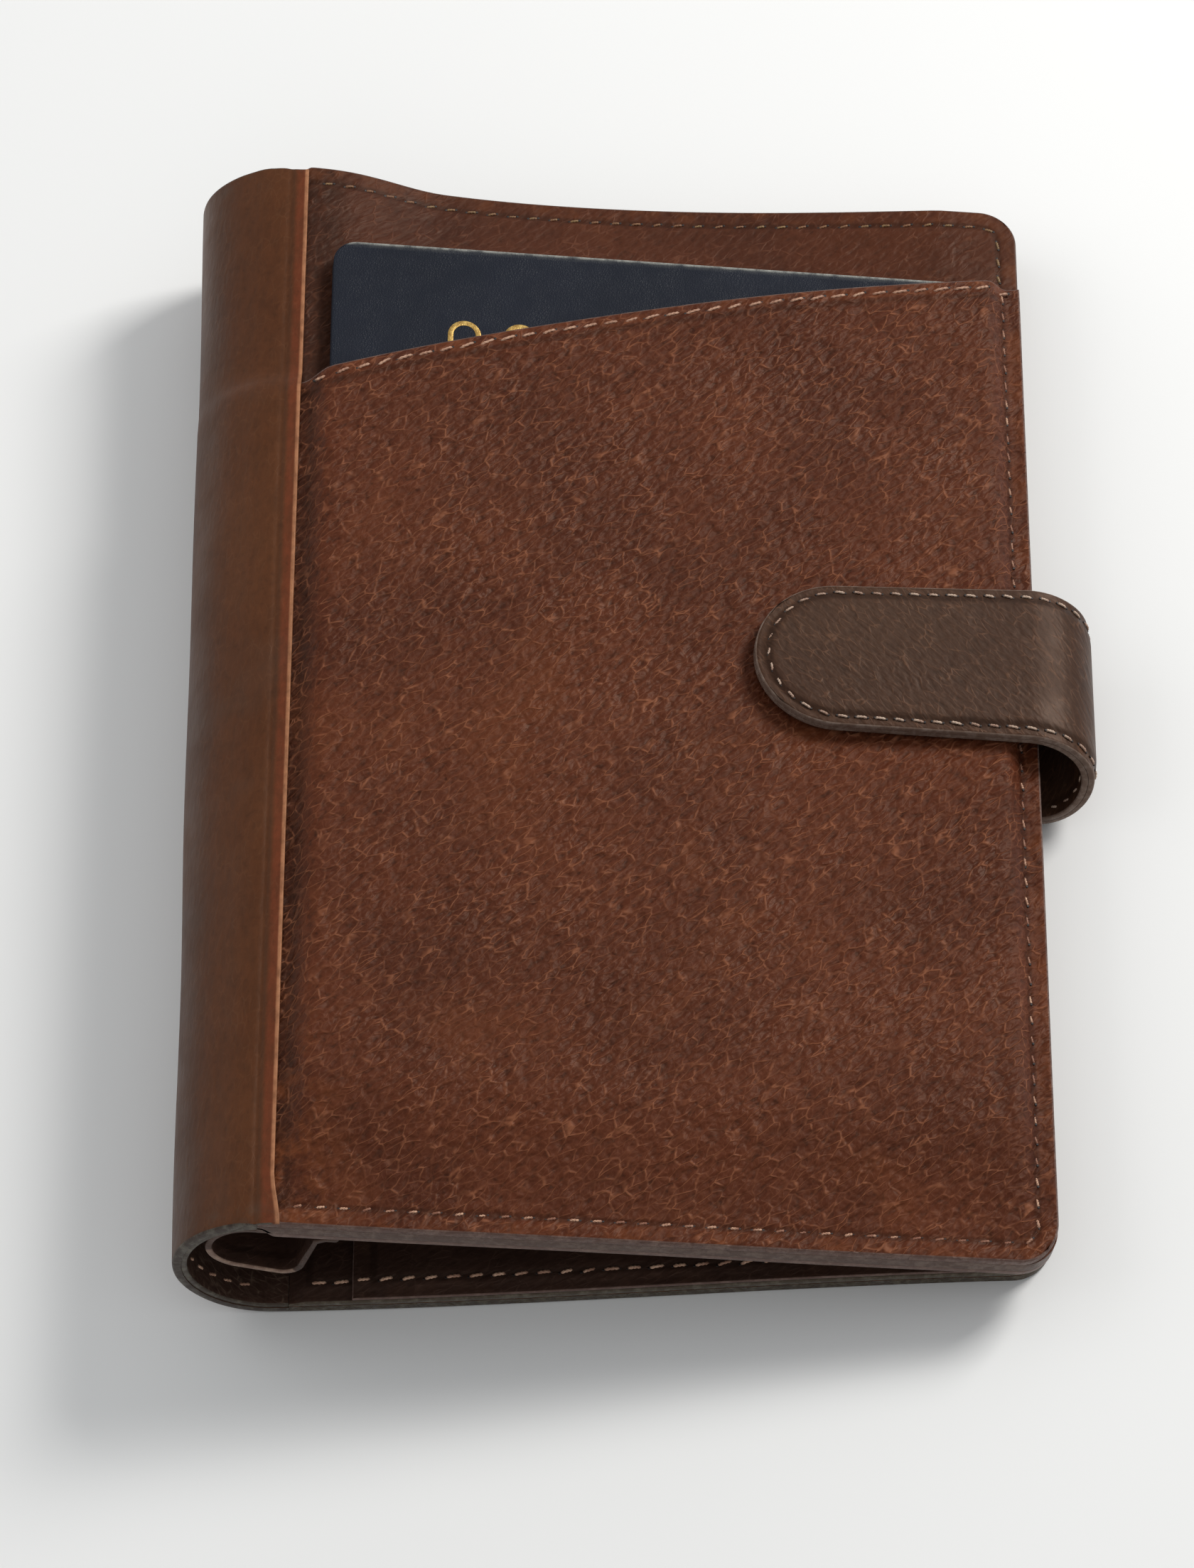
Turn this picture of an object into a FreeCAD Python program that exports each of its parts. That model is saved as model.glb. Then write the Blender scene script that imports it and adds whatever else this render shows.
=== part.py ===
"""Passport holder: a leather book cover with a soft round spine, an outside pocket that holds a
passport, and a strap that wraps the fore edge and closes with a magnet.

Frame: +X from the spine to the fore edge, +Y from the bottom edge to the top edge, +Z up from the
table. The holder lies on its back cover, and the origin is the middle of its footprint.
Lengths are millimetres. Places are first given from the seam, where the round spine meets the flat
covers. What belongs to the front cover is given in that cover's own tilted frame: its origin is on
the seam at the cover's outer face, and its z axis points out of that face.
"""

import FreeCAD, Part
import math
import os

import Sketcher

DRIVING = [
    ("cover_height", 158.5, "both covers, bottom edge to top edge"),
    ("back_length", 94.8, "back cover, seam to fore edge"),
    ("front_length", 96.6, "front cover, seam to fore edge, along its slope"),
    ("wedge_angle", 9.2, "slope of the front cover, degrees"),
    ("corner_radius", 5.0, "rounded corners at the fore edge"),
    ("seam_gap", 0.4, "between the round spine and the front cover's layers"),
    ("leather", 1.2, "cover leather"),
    ("board_back", 1.2, "stiffening board in the back cover"),
    ("board_front", 1.0, "stiffening board in the front cover"),
    ("board_inset", 1.6, "board edge inside the leather edge"),
    ("lining", 0.6, "inside lining"),
    ("spine_height", 24.4, "outer height of the round spine"),
    ("spine_reach", 14.0, "spine beyond the seam"),
    ("cover_top", 24.2, "outer face of the front cover at the seam"),
    ("panel", 0.6, "document pocket panel"),
    ("panel_start", 8.0, "document pocket panel, distance from the seam"),
    ("panel_height", 132.0, "document pocket panel, from the bottom edge"),
    ("slot_panel", 0.4, "one card slot panel"),
    ("slot_start", 9.4, "card slots, distance from the seam"),
    ("slot_height", 98.0, "deepest card slot panel, from the bottom edge"),
    ("slot_step", 13.0, "each card slot is lower than the last by this"),
    ("pocket_cavity", 2.7, "height left for the passport"),
    ("pocket_lining", 0.5, "lining inside the outside pocket"),
    ("pocket_leather", 1.0, "leather of the outside pocket"),
    ("pocket_wall", 2.0, "closed, sewn edges of the outside pocket"),
    ("mouth_left", 122.65, "pocket mouth at the seam, from the bottom edge"),
    ("mouth_right", 145.45, "pocket mouth at the fore edge, from the bottom edge"),
    ("mouth_radius", 430.0, "curve of the pocket mouth"),
    ("closure_x", 71.0, "magnet and plate, from the seam"),
    ("closure_y", 1.5, "magnet and plate, and the strap's middle line"),
    ("plate_radius", 6.0, "steel plate in the pocket"),
    ("magnet_radius", 5.0, "magnet in the strap"),
    ("disc_gap", 0.1, "between a disc and the hole that holds it"),
    ("strap_width", 22.0, "closing strap"),
    ("strap_tip", 60.0, "strap tip, from the seam"),
    ("strap_leather", 0.9, "outer strap leather"),
    ("strap_core", 0.6, "strap stiffener"),
    ("strap_lining", 0.6, "inner strap leather"),
    ("strap_root", 16.0, "strap leather held inside the back cover"),
    ("strap_bend_x", 96.6, "centre of the strap's bend, from the seam"),
    ("strap_bend_radius", 7.0, "outer radius of the strap's bend"),
    ("loop_width", 13.0, "pen loop, outer width"),
    ("loop_height", 10.4, "pen loop, outer height"),
    ("loop_leather", 0.8, "pen loop leather"),
    ("loop_length", 30.0, "pen loop along the spine"),
    ("loop_inset", 0.6, "pen loop above the bottom edge"),
    ("loop_middle", -1.2, "pen loop's middle, from the seam"),
    ("loop_tongue", 8.6, "sewn tongue of the pen loop"),
    ("passport_width", 88.0, "passport booklet"),
    ("passport_height", 125.0, "passport booklet"),
    ("passport_thickness", 2.2, "passport booklet"),
    ("passport_cover", 0.45, "passport cover board"),
    ("passport_corner", 3.2, "passport's rounded corners"),
    ("passport_inset", 3.8, "passport's nearest edge, from the seam"),
    ("passport_rise", 19.75, "passport's lower edge, from the bottom edge"),
    ("passport_gap", 0.3, "between the passport and the cover below it"),
    ("page_inset", 0.3, "page edges inside the passport cover"),
    ("stitch_pitch", 2.8, "from one stitch to the next"),
    ("stitch_length", 2.1, "one stitch"),
    ("stitch_width", 0.5, "one stitch"),
    ("stitch_height", 0.2, "one stitch"),
    ("stitch_inset", 2.6, "edge stitches, from the leather edge"),
    ("mouth_stitch_inset", 1.4, "mouth stitches, from the pocket mouth"),
    ("strap_stitch_inset", 1.7, "strap stitches, from the strap's edge"),
]

doc = FreeCAD.newDocument("PassportHolder")
sheet = doc.addObject("Spreadsheet::Sheet", "Dims")
for row, (alias, value, note) in enumerate(DRIVING, start=1):
    sheet.set(f"A{row}", alias)
    sheet.set(f"B{row}", str(value))
    sheet.set(f"C{row}", note)
    sheet.setAlias(f"B{row}", alias)
doc.recompute()

# Places and thicknesses worked out from the driving cells, as expressions.
SEAM_X = "(-(Dims.strap_bend_x + Dims.strap_bend_radius - Dims.spine_reach) / 2)"
BOTTOM = "(-Dims.cover_height / 2)"
TILT = "Dims.wedge_angle"
STRAP_Y = "(Dims.closure_y - Dims.strap_width / 2)"
POCKET_TOP = "(Dims.pocket_cavity + Dims.pocket_lining + Dims.pocket_leather)"
BEND_Z = "(Dims.leather + Dims.strap_bend_radius)"
BEND_TILTED_X = f"(Dims.strap_bend_x * cos({TILT}) - ({BEND_Z} - Dims.cover_top) * sin({TILT}))"
BEND_TILTED_Z = f"(Dims.strap_bend_x * sin({TILT}) + ({BEND_Z} - Dims.cover_top) * cos({TILT}))"
LEG_TOP = f"({BEND_TILTED_Z} + Dims.strap_bend_radius)"
LINING_FACE = "(-Dims.leather - Dims.board_front - Dims.lining)"
LOOP_Z = f"({LINING_FACE} - Dims.loop_height / 2 - Dims.loop_leather / 2)"

# A cylinder's own axis turned to run along -Y, with its sweep starting downwards and going to +X.
BEND_TURN = FreeCAD.Rotation(
    FreeCAD.Vector(0, 0, -1), FreeCAD.Vector(1, 0, 0), FreeCAD.Vector(0, -1, 0), "ZXY"
)
# The same, with its sweep starting upwards and going to -X.
SPINE_TURN = FreeCAD.Rotation(
    FreeCAD.Vector(0, 0, 1), FreeCAD.Vector(-1, 0, 0), FreeCAD.Vector(0, -1, 0), "ZXY"
)


def cell(alias):
    """A driving dimension as a number."""
    return float(sheet.get(alias))


def bind(item, sizes):
    """Bind an object's properties to expressions on the sheet."""
    for name, expression in sizes.items():
        item.setExpression(name, expression)


def place(item, x, y, z, tilted=False, turn=None):
    """Put an object's own origin at x, y, z from the seam, or in the front cover's frame."""
    if tilted:
        tilt = FreeCAD.Rotation(FreeCAD.Vector(0, 1, 0), cell("wedge_angle"))
        item.Placement = FreeCAD.Placement(FreeCAD.Vector(), tilt.multiply(turn) if turn else tilt)
        row_x = f"{SEAM_X} + ({x}) * cos({TILT}) + ({z}) * sin({TILT})"
        row_z = f"Dims.cover_top - ({x}) * sin({TILT}) + ({z}) * cos({TILT})"
    else:
        item.Placement = FreeCAD.Placement(FreeCAD.Vector(), turn or FreeCAD.Rotation())
        row_x = f"{SEAM_X} + ({x})"
        row_z = z
    bind(item, {
        "Placement.Base.x": row_x,
        "Placement.Base.y": y,
        "Placement.Base.z": row_z,
    })


def polygon_sketch(body, name, corners, sizes):
    """A closed sketch through corners, fixed at the origin and bound by sizes.

    Each size is (corner number, "DistanceX" or "DistanceY", expression), from the first corner.
    Sides are held level or upright.
    """
    sketch = body.newObject("Sketcher::SketchObject", name)
    plane = next(f for f in body.Origin.OriginFeatures if f.Role == "XY_Plane")
    sketch.AttachmentSupport = [(plane, "")]
    sketch.MapMode = "FlatFace"
    count = len(corners)
    for index, (x, y) in enumerate(corners):
        end = corners[(index + 1) % count]
        line = Part.LineSegment(FreeCAD.Vector(x, y, 0), FreeCAD.Vector(end[0], end[1], 0))
        sketch.addGeometry(line, False)
    for index, (x, y) in enumerate(corners):
        end = corners[(index + 1) % count]
        sketch.addConstraint(Sketcher.Constraint("Coincident", index, 2, (index + 1) % count, 1))
        level = "Horizontal" if abs(y - end[1]) < abs(x - end[0]) else "Vertical"
        sketch.addConstraint(Sketcher.Constraint(level, index))
    for corner, kind, expression in sizes:
        axis = 0 if kind == "DistanceX" else 1
        value = corners[corner][axis]
        number = sketch.addConstraint(Sketcher.Constraint(kind, -1, 1, corner, 1, value))
        sketch.setExpression(f"Constraints[{number}]", expression)
    return sketch


def upright_edges(shape, at_x):
    """Names of the edges that stand along z at the given x."""
    names = []
    for number, edge in enumerate(shape.Edges, start=1):
        box = edge.BoundBox
        if box.ZLength > 1e-3 and box.XLength < 1e-6 and abs(box.XMin - at_x) < 1e-6:
            names.append(f"Edge{number}")
    return names


def slab(label, length, width, height, corner=None, near=False):
    """A flat rectangular layer: a sketch padded up, with rounded corners at its far or near x."""
    body = doc.addObject("PartDesign::Body", label)
    body.Label = label
    x_size, y_size = doc_value(length), doc_value(width)
    corners = [(0, 0), (x_size, 0), (x_size, y_size), (0, y_size)]
    sizes = [
        (0, "DistanceX", "0"), (0, "DistanceY", "0"),
        (2, "DistanceX", length), (2, "DistanceY", width),
    ]
    sketch = polygon_sketch(body, f"{label}_outline", corners, sizes)
    pad = body.newObject("PartDesign::Pad", f"{label}_pad")
    pad.Profile = sketch
    bind(pad, {"Length": height})
    doc.recompute()
    if corner:
        fillet = body.newObject("PartDesign::Fillet", f"{label}_corners")
        fillet.Base = (pad, upright_edges(pad.Shape, 0 if near else x_size))
        bind(fillet, {"Radius": corner})
        body.Tip = fillet
    return body


def doc_value(expression):
    """The number that an expression on the sheet comes to."""
    return float(sheet.evalExpression(expression))


def cut_box(body, name, corner_x, corner_y, length, width, depth):
    """Pocket a rectangle into a slab's own lower face, and show that it removed something."""
    before = body.Shape.Volume
    x_low, y_low = doc_value(corner_x), doc_value(corner_y)
    x_high, y_high = x_low + doc_value(length), y_low + doc_value(width)
    corners = [(x_low, y_low), (x_high, y_low), (x_high, y_high), (x_low, y_high)]
    sizes = [
        (0, "DistanceX", corner_x), (0, "DistanceY", corner_y),
        (2, "DistanceX", f"{corner_x} + {length}"), (2, "DistanceY", f"{corner_y} + {width}"),
    ]
    sketch = polygon_sketch(body, f"{name}_outline", corners, sizes)
    pocket = body.newObject("PartDesign::Pocket", name)
    pocket.Profile = sketch
    pocket.Reversed = True
    bind(pocket, {"Length": depth})
    body.Tip = pocket
    doc.recompute()
    if body.Shape.Volume >= before:
        raise RuntimeError(f"{name} cut nothing")


def box(name, length, width, height):
    """A Part box bound to the sheet."""
    item = doc.addObject("Part::Box", name)
    bind(item, {"Length": length, "Width": width, "Height": height})
    return item


def cylinder(name, radius, height, angle="360"):
    """A Part cylinder, or a sector of one, bound to the sheet."""
    item = doc.addObject("Part::Cylinder", name)
    bind(item, {"Radius": radius, "Height": height, "Angle": angle})
    return item


def fuse(label, pieces):
    """One solid from several."""
    item = doc.addObject("Part::MultiFuse", label)
    item.Shapes = pieces
    item.Refine = True
    return item


def cut(label, base, tool):
    """One solid less another."""
    item = doc.addObject("Part::Cut", label)
    item.Base = base
    item.Tool = tool
    item.Refine = True
    return item


def back_layers():
    """The flat back cover, from the table up: leather, board, lining, document pocket."""
    cover = slab("back_cover", "Dims.back_length", "Dims.cover_height", "Dims.leather",
                 "Dims.corner_radius")
    place(cover, "0", BOTTOM, "0")

    board_length = "(Dims.back_length - 2 * Dims.board_inset)"
    board_width = "(Dims.cover_height - 2 * Dims.board_inset)"
    board = slab("back_board", board_length, board_width, "Dims.board_back")
    root_x = f"({board_length} - Dims.strap_root + Dims.board_inset)"
    root_y = f"({STRAP_Y} - {BOTTOM} - Dims.board_inset - Dims.disc_gap)"
    root_width = "(Dims.strap_width + 2 * Dims.disc_gap)"
    cut_box(board, "strap_notch", root_x, root_y, "Dims.strap_root", root_width,
            "Dims.board_back")
    place(board, "Dims.board_inset", f"{BOTTOM} + Dims.board_inset", "Dims.leather")

    lining = slab("back_lining", "Dims.back_length", "Dims.cover_height", "Dims.lining",
                  "Dims.corner_radius")
    place(lining, "0", BOTTOM, "Dims.leather + Dims.board_back")

    panel = slab("document_pocket", "(Dims.back_length - Dims.panel_start)",
                 "Dims.panel_height", "Dims.panel", "Dims.corner_radius")
    place(panel, "Dims.panel_start", BOTTOM, "Dims.leather + Dims.board_back + Dims.lining")
    return [cover, board, lining, panel]


def spine_layer(label, offset, thickness):
    """A half-round layer of the spine, its outer face offset inside the spine's outline."""
    straight = "(Dims.spine_reach - Dims.spine_height / 2)"
    parts = []
    for name, inset in (("outer", offset), ("inner", f"({offset} + {thickness})")):
        radius = f"(Dims.spine_height / 2 - {inset})"
        round_part = cylinder(f"{label}_{name}_round", radius, "Dims.cover_height", "180")
        place(round_part, f"-{straight}", "Dims.cover_height / 2", "Dims.spine_height / 2",
              turn=SPINE_TURN)
        flat_part = box(f"{label}_{name}_flat", straight, "Dims.cover_height", f"2 * {radius}")
        place(flat_part, f"-{straight}", BOTTOM, inset)
        parts.append(fuse(f"{label}_{name}", [round_part, flat_part]))
    return cut(label, *parts)


def front_layers():
    """The sloping front cover: leather, board, lining and three card slots below it."""
    span = "(Dims.front_length - Dims.seam_gap)"
    cover = slab("front_cover", span, "Dims.cover_height", "Dims.leather", "Dims.corner_radius")
    place(cover, "Dims.seam_gap", BOTTOM, "-Dims.leather", tilted=True)

    board = slab("front_board", f"({span} - 2 * Dims.board_inset)",
                 "(Dims.cover_height - 2 * Dims.board_inset)", "Dims.board_front")
    place(board, "Dims.seam_gap + Dims.board_inset", f"{BOTTOM} + Dims.board_inset",
          "-Dims.leather - Dims.board_front", tilted=True)

    lining = slab("front_lining", span, "Dims.cover_height", "Dims.lining", "Dims.corner_radius")
    place(lining, "Dims.seam_gap", BOTTOM, LINING_FACE, tilted=True)

    layers = [cover, board, lining]
    for number in (1, 2, 3):
        slot_width = f"(Dims.slot_height - {number - 1} * Dims.slot_step)"
        slot = slab(f"card_slot_{number}", "(Dims.front_length - Dims.slot_start)", slot_width,
                    "Dims.slot_panel", "Dims.corner_radius")
        place(slot, "Dims.slot_start", BOTTOM, f"{LINING_FACE} - {number} * Dims.slot_panel",
              tilted=True)
        layers.append(slot)
    return layers


def mouth_arc(rise):
    """The pocket mouth's arc, moved along y, as the middle and radius of its circle."""
    left = FreeCAD.Vector(0, cell("mouth_left") + rise, 0)
    right = FreeCAD.Vector(cell("front_length") - cell("seam_gap"), cell("mouth_right") + rise, 0)
    chord = right - left
    half = chord.Length / 2
    drop = math.sqrt(cell("mouth_radius") ** 2 - half ** 2)
    normal = FreeCAD.Vector(chord.y, -chord.x, 0).normalize()
    centre = left + chord * 0.5 + normal * drop
    return centre, left, right


def mouth_sketch(body):
    """The pocket's outline: straight sides and bottom, and an arc along the mouth."""
    centre, left, right = mouth_arc(0.0)
    sketch = body.newObject("Sketcher::SketchObject", "pocket_outline")
    plane = next(f for f in body.Origin.OriginFeatures if f.Role == "XY_Plane")
    sketch.AttachmentSupport = [(plane, "")]
    sketch.MapMode = "FlatFace"
    corner = FreeCAD.Vector(right.x, 0, 0)
    origin = FreeCAD.Vector()
    sketch.addGeometry(Part.LineSegment(origin, corner), False)
    sketch.addGeometry(Part.LineSegment(corner, right), False)
    circle = Part.Circle(centre, FreeCAD.Vector(0, 0, 1), cell("mouth_radius"))
    start = math.atan2(right.y - centre.y, right.x - centre.x)
    end = math.atan2(left.y - centre.y, left.x - centre.x)
    sketch.addGeometry(Part.ArcOfCircle(circle, start, end), False)
    sketch.addGeometry(Part.LineSegment(left, origin), False)
    for first, second in (((0, 2), (1, 1)), ((1, 2), (2, 1)), ((2, 2), (3, 1)), ((3, 2), (0, 1))):
        sketch.addConstraint(Sketcher.Constraint("Coincident", *first, *second))
    sketch.addConstraint(Sketcher.Constraint("Coincident", 0, 1, -1, 1))
    sketch.addConstraint(Sketcher.Constraint("Horizontal", 0))
    sketch.addConstraint(Sketcher.Constraint("Vertical", 1))
    sketch.addConstraint(Sketcher.Constraint("Vertical", 3))
    sizes = [
        (("DistanceX", 0, 1, 0, 2, right.x), "Dims.front_length - Dims.seam_gap"),
        (("DistanceY", 1, 1, 1, 2, right.y), "Dims.mouth_right"),
        (("DistanceY", 3, 2, 3, 1, left.y), "Dims.mouth_left"),
        (("Radius", 2, cell("mouth_radius")), "Dims.mouth_radius"),
    ]
    for constraint, expression in sizes:
        number = sketch.addConstraint(Sketcher.Constraint(*constraint))
        sketch.setExpression(f"Constraints[{number}]", expression)
    return sketch


def outside_pocket():
    """The passport pocket: leather closed on three sides, its lining, and the steel plate."""
    leather = doc.addObject("PartDesign::Body", "passport_pocket")
    leather.Label = "passport_pocket"
    sketch = mouth_sketch(leather)
    pad = leather.newObject("PartDesign::Pad", "pocket_pad")
    pad.Profile = sketch
    bind(pad, {"Length": POCKET_TOP})
    doc.recompute()
    corners = leather.newObject("PartDesign::Fillet", "pocket_corner")
    side = doc_value("Dims.front_length - Dims.seam_gap")
    lower = [
        name for name in upright_edges(pad.Shape, side)
        if pad.Shape.getElement(name).BoundBox.YMax < 1e-6
    ]
    corners.Base = (pad, lower)
    bind(corners, {"Radius": "Dims.corner_radius"})
    leather.Tip = corners
    doc.recompute()
    cavity_length = "(Dims.front_length - Dims.seam_gap - 2 * Dims.pocket_wall)"
    cut_box(leather, "pocket_cavity", "Dims.pocket_wall", "Dims.pocket_wall", cavity_length,
            "Dims.cover_height", "(Dims.pocket_cavity + Dims.pocket_lining)")
    place(leather, "Dims.seam_gap", BOTTOM, "0", tilted=True)

    sheet_width = "(Dims.mouth_left - 3 * Dims.pocket_wall)"
    sheet_layer = slab("pocket_lining_blank", cavity_length, sheet_width, "Dims.pocket_lining")
    place(sheet_layer, "Dims.seam_gap + Dims.pocket_wall", f"{BOTTOM} + Dims.pocket_wall",
          "Dims.pocket_cavity", tilted=True)
    hole = cylinder("plate_hole", "(Dims.plate_radius + Dims.disc_gap)", "Dims.pocket_lining")
    place(hole, "Dims.closure_x", "Dims.closure_y", "Dims.pocket_cavity", tilted=True)
    lining = cut("pocket_lining", sheet_layer, hole)

    plate = cylinder("closure_plate", "Dims.plate_radius", "Dims.pocket_lining")
    place(plate, "Dims.closure_x", "Dims.closure_y", "Dims.pocket_cavity", tilted=True)
    return [leather, lining, plate]


def pen_loop():
    """A flattened leather ring inside the spine, on a tongue sewn to the front lining."""
    low_y = f"({BOTTOM} + Dims.loop_inset)"
    rings = []
    for name, inset in (("outer", "0"), ("inner", "Dims.loop_leather")):
        radius = f"(Dims.loop_height / 2 - {inset})"
        half_flat = "((Dims.loop_width - Dims.loop_height) / 2)"
        ends = []
        for side, sign in (("left", "-"), ("right", "+")):
            end = cylinder(f"loop_{name}_{side}", radius, "Dims.loop_length")
            place(end, f"Dims.loop_middle {sign} {half_flat}", f"{low_y} + Dims.loop_length",
                  LOOP_Z, tilted=True, turn=SPINE_TURN)
            ends.append(end)
        flat = box(f"loop_{name}_flat", f"2 * {half_flat}", "Dims.loop_length", f"2 * {radius}")
        place(flat, f"Dims.loop_middle - {half_flat}", low_y, f"{LOOP_Z} - {radius}", tilted=True)
        rings.append(fuse(f"loop_{name}", [*ends, flat]))
    tongue = box("loop_tongue", "Dims.loop_tongue - Dims.seam_gap", "Dims.loop_length",
                 "Dims.loop_leather")
    place(tongue, "Dims.seam_gap", low_y, f"{LINING_FACE} - Dims.loop_leather", tilted=True)
    blank = fuse("loop_blank", [rings[0], tongue])
    return [cut("pen_loop", blank, rings[1])]


def strap_layer(label, offset, thickness, rooted):
    """One layer of the strap: the bend, the leg over the pocket and the round tip.

    offset is the depth of the layer's outer face below the strap's outer face. A rooted layer
    also has the leg that is held inside the back cover.
    """
    outer = f"(Dims.strap_bend_radius - {offset})"
    sweep = f"180 - {TILT}"
    bend_y = f"{STRAP_Y} + Dims.strap_width"
    solid = cylinder(f"{label}_bend_outer", outer, "Dims.strap_width", sweep)
    hollow = cylinder(f"{label}_bend_inner", f"{outer} - {thickness}", "Dims.strap_width", "360")
    for item in (solid, hollow):
        place(item, "Dims.strap_bend_x", bend_y, BEND_Z, turn=BEND_TURN)
    bend = cut(f"{label}_bend", solid, hollow)

    face = f"({LEG_TOP} - {offset} - {thickness})"
    tip_middle = "(Dims.strap_tip + Dims.strap_width / 2)"
    leg = box(f"{label}_leg", f"{BEND_TILTED_X} - {tip_middle}", "Dims.strap_width", thickness)
    place(leg, tip_middle, STRAP_Y, face, tilted=True)
    tip = cylinder(f"{label}_tip", "Dims.strap_width / 2", thickness)
    place(tip, tip_middle, "Dims.closure_y", face, tilted=True)
    pieces = [bend, leg, tip]
    if rooted:
        reach = "(Dims.strap_bend_x - Dims.back_length + Dims.strap_root)"
        root = box(f"{label}_root", reach, "Dims.strap_width", thickness)
        place(root, f"Dims.strap_bend_x - {reach}", STRAP_Y, "Dims.leather")
        pieces.append(root)
    return fuse(label, pieces)


def strap():
    """The closing strap: outer leather, stiffener with its magnet, and inner leather."""
    leather = strap_layer("strap_leather", "0", "Dims.strap_leather", rooted=True)
    core_blank = strap_layer("strap_core_blank", "Dims.strap_leather", "Dims.strap_core", False)
    under = "(Dims.strap_leather + Dims.strap_core)"
    lining = strap_layer("strap_lining", under, "Dims.strap_lining", False)
    seat_z = f"{LEG_TOP} - {under}"
    hole = cylinder("magnet_hole", "(Dims.magnet_radius + Dims.disc_gap)", "Dims.strap_core")
    place(hole, "Dims.closure_x", "Dims.closure_y", seat_z, tilted=True)
    core = cut("strap_core", core_blank, hole)
    magnet = cylinder("strap_magnet", "Dims.magnet_radius", "Dims.strap_core")
    place(magnet, "Dims.closure_x", "Dims.closure_y", seat_z, tilted=True)
    return [leather, lining, core, magnet]


def passport():
    """The booklet: a cover folded at its far edge, and the block of pages inside it."""
    low_y = f"({BOTTOM} + Dims.passport_rise)"
    cover = slab("passport_cover", "Dims.passport_width", "Dims.passport_height",
                 "Dims.passport_thickness", "Dims.passport_corner", near=True)
    block = "(Dims.passport_thickness - 2 * Dims.passport_cover)"
    hollow = box("passport_hollow", "Dims.passport_width", "2 * Dims.passport_height", block)
    place(cover, "Dims.passport_inset", low_y, "Dims.passport_gap", tilted=True)
    place(hollow, "Dims.passport_inset - Dims.passport_cover",
          f"{low_y} - Dims.passport_height / 2", "Dims.passport_gap + Dims.passport_cover",
          tilted=True)
    cover.Label = "passport_blank"
    wrap = cut("passport_wrap", cover, hollow)
    wrap.Label = "passport_cover"
    pages = slab("passport_pages",
                 "(Dims.passport_width - Dims.passport_cover - Dims.page_inset)",
                 "(Dims.passport_height - 2 * Dims.page_inset)", block, "Dims.passport_corner",
                 near=True)
    place(pages, "Dims.passport_inset + Dims.page_inset", f"{low_y} + Dims.page_inset",
          "Dims.passport_gap + Dims.passport_cover", tilted=True)
    return [wrap, pages]


def stitch(x, y, angle):
    """One stitch lying on the plane z = 0, its middle at x, y."""
    length, width = cell("stitch_length"), cell("stitch_width")
    bar = Part.makeBox(length, width, cell("stitch_height"),
                       FreeCAD.Vector(-length / 2, -width / 2, 0))
    bar.rotate(FreeCAD.Vector(), FreeCAD.Vector(0, 0, 1), math.degrees(angle))
    bar.translate(FreeCAD.Vector(x, y, 0))
    return bar


def stitch_run(start, end):
    """Evenly spaced stitches along a straight run."""
    run_x, run_y = end[0] - start[0], end[1] - start[1]
    length = math.hypot(run_x, run_y)
    count = int(length // cell("stitch_pitch"))
    angle = math.atan2(run_y, run_x)
    steps = [(number + 0.5) / count for number in range(count)]
    return [stitch(start[0] + run_x * s, start[1] + run_y * s, angle) for s in steps]


def stitch_arc(centre, radius, start, end):
    """Evenly spaced stitches along an arc, between two angles in radians."""
    count = int(abs(end - start) * radius // cell("stitch_pitch"))
    bars = []
    for number in range(count):
        turn = start + (end - start) * (number + 0.5) / count
        x = centre[0] + radius * math.cos(turn)
        y = centre[1] + radius * math.sin(turn)
        bars.append(stitch(x, y, turn + math.pi / 2))
    return bars


def thread(label, bars, lift, tilted):
    """A row of stitches as one object, lifted to the face that it shows on."""
    item = doc.addObject("Part::Feature", label)
    item.Label = label
    item.Shape = Part.makeCompound(bars)
    place(item, "0", "0", lift, tilted=tilted)
    return item


def threads():
    """The visible stitching: covers, pocket mouth and strap."""
    inset, half = cell("stitch_inset"), cell("cover_height") / 2
    side, top = cell("front_length") - inset, half - inset
    start = cell("seam_gap") + inset
    corner = cell("corner_radius") - inset
    mouth_y = cell("mouth_right") - half
    lower = stitch_run((start, -top), (side - corner, -top))
    lower += stitch_run((side, -top + corner), (side, mouth_y - inset))
    upper = stitch_run((start, top), (side - corner, top))
    upper += stitch_run((side, mouth_y + inset), (side, top - corner))

    centre, left, right = mouth_arc(-cell("mouth_stitch_inset"))
    radius = cell("mouth_radius")
    arc_start = math.atan2(left.y - centre.y, left.x - centre.x)
    arc_end = math.atan2(right.y - centre.y, right.x - centre.x)
    middle = (centre.x + cell("seam_gap"), centre.y - half)
    mouth = stitch_arc(middle, radius, arc_start, arc_end)

    back_side = cell("back_length") - inset
    inner = stitch_run((inset, top), (back_side - corner, top))
    inner += stitch_run((back_side, top - corner), (back_side, cell("panel_height") - half + inset))

    strap_inset = cell("strap_stitch_inset")
    reach = cell("strap_width") / 2 - strap_inset
    tip_x = cell("strap_tip") + cell("strap_width") / 2
    strap_y = cell("closure_y")
    leg_end = doc_value(BEND_TILTED_X)
    round_tip = stitch_arc((tip_x, strap_y), reach, math.pi / 2, 3 * math.pi / 2)
    legs = stitch_run((tip_x, strap_y + reach), (leg_end, strap_y + reach))
    legs += stitch_run((tip_x, strap_y - reach), (leg_end, strap_y - reach))

    inner_lift = "Dims.leather + Dims.board_back + Dims.lining"
    return [
        thread("pocket_edge_thread", lower, POCKET_TOP, True),
        thread("cover_edge_thread", upper, "0", True),
        thread("pocket_mouth_thread", mouth, POCKET_TOP, True),
        thread("back_edge_thread", inner, inner_lift, False),
        thread("strap_thread", round_tip + legs, LEG_TOP, True),
    ]


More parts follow.
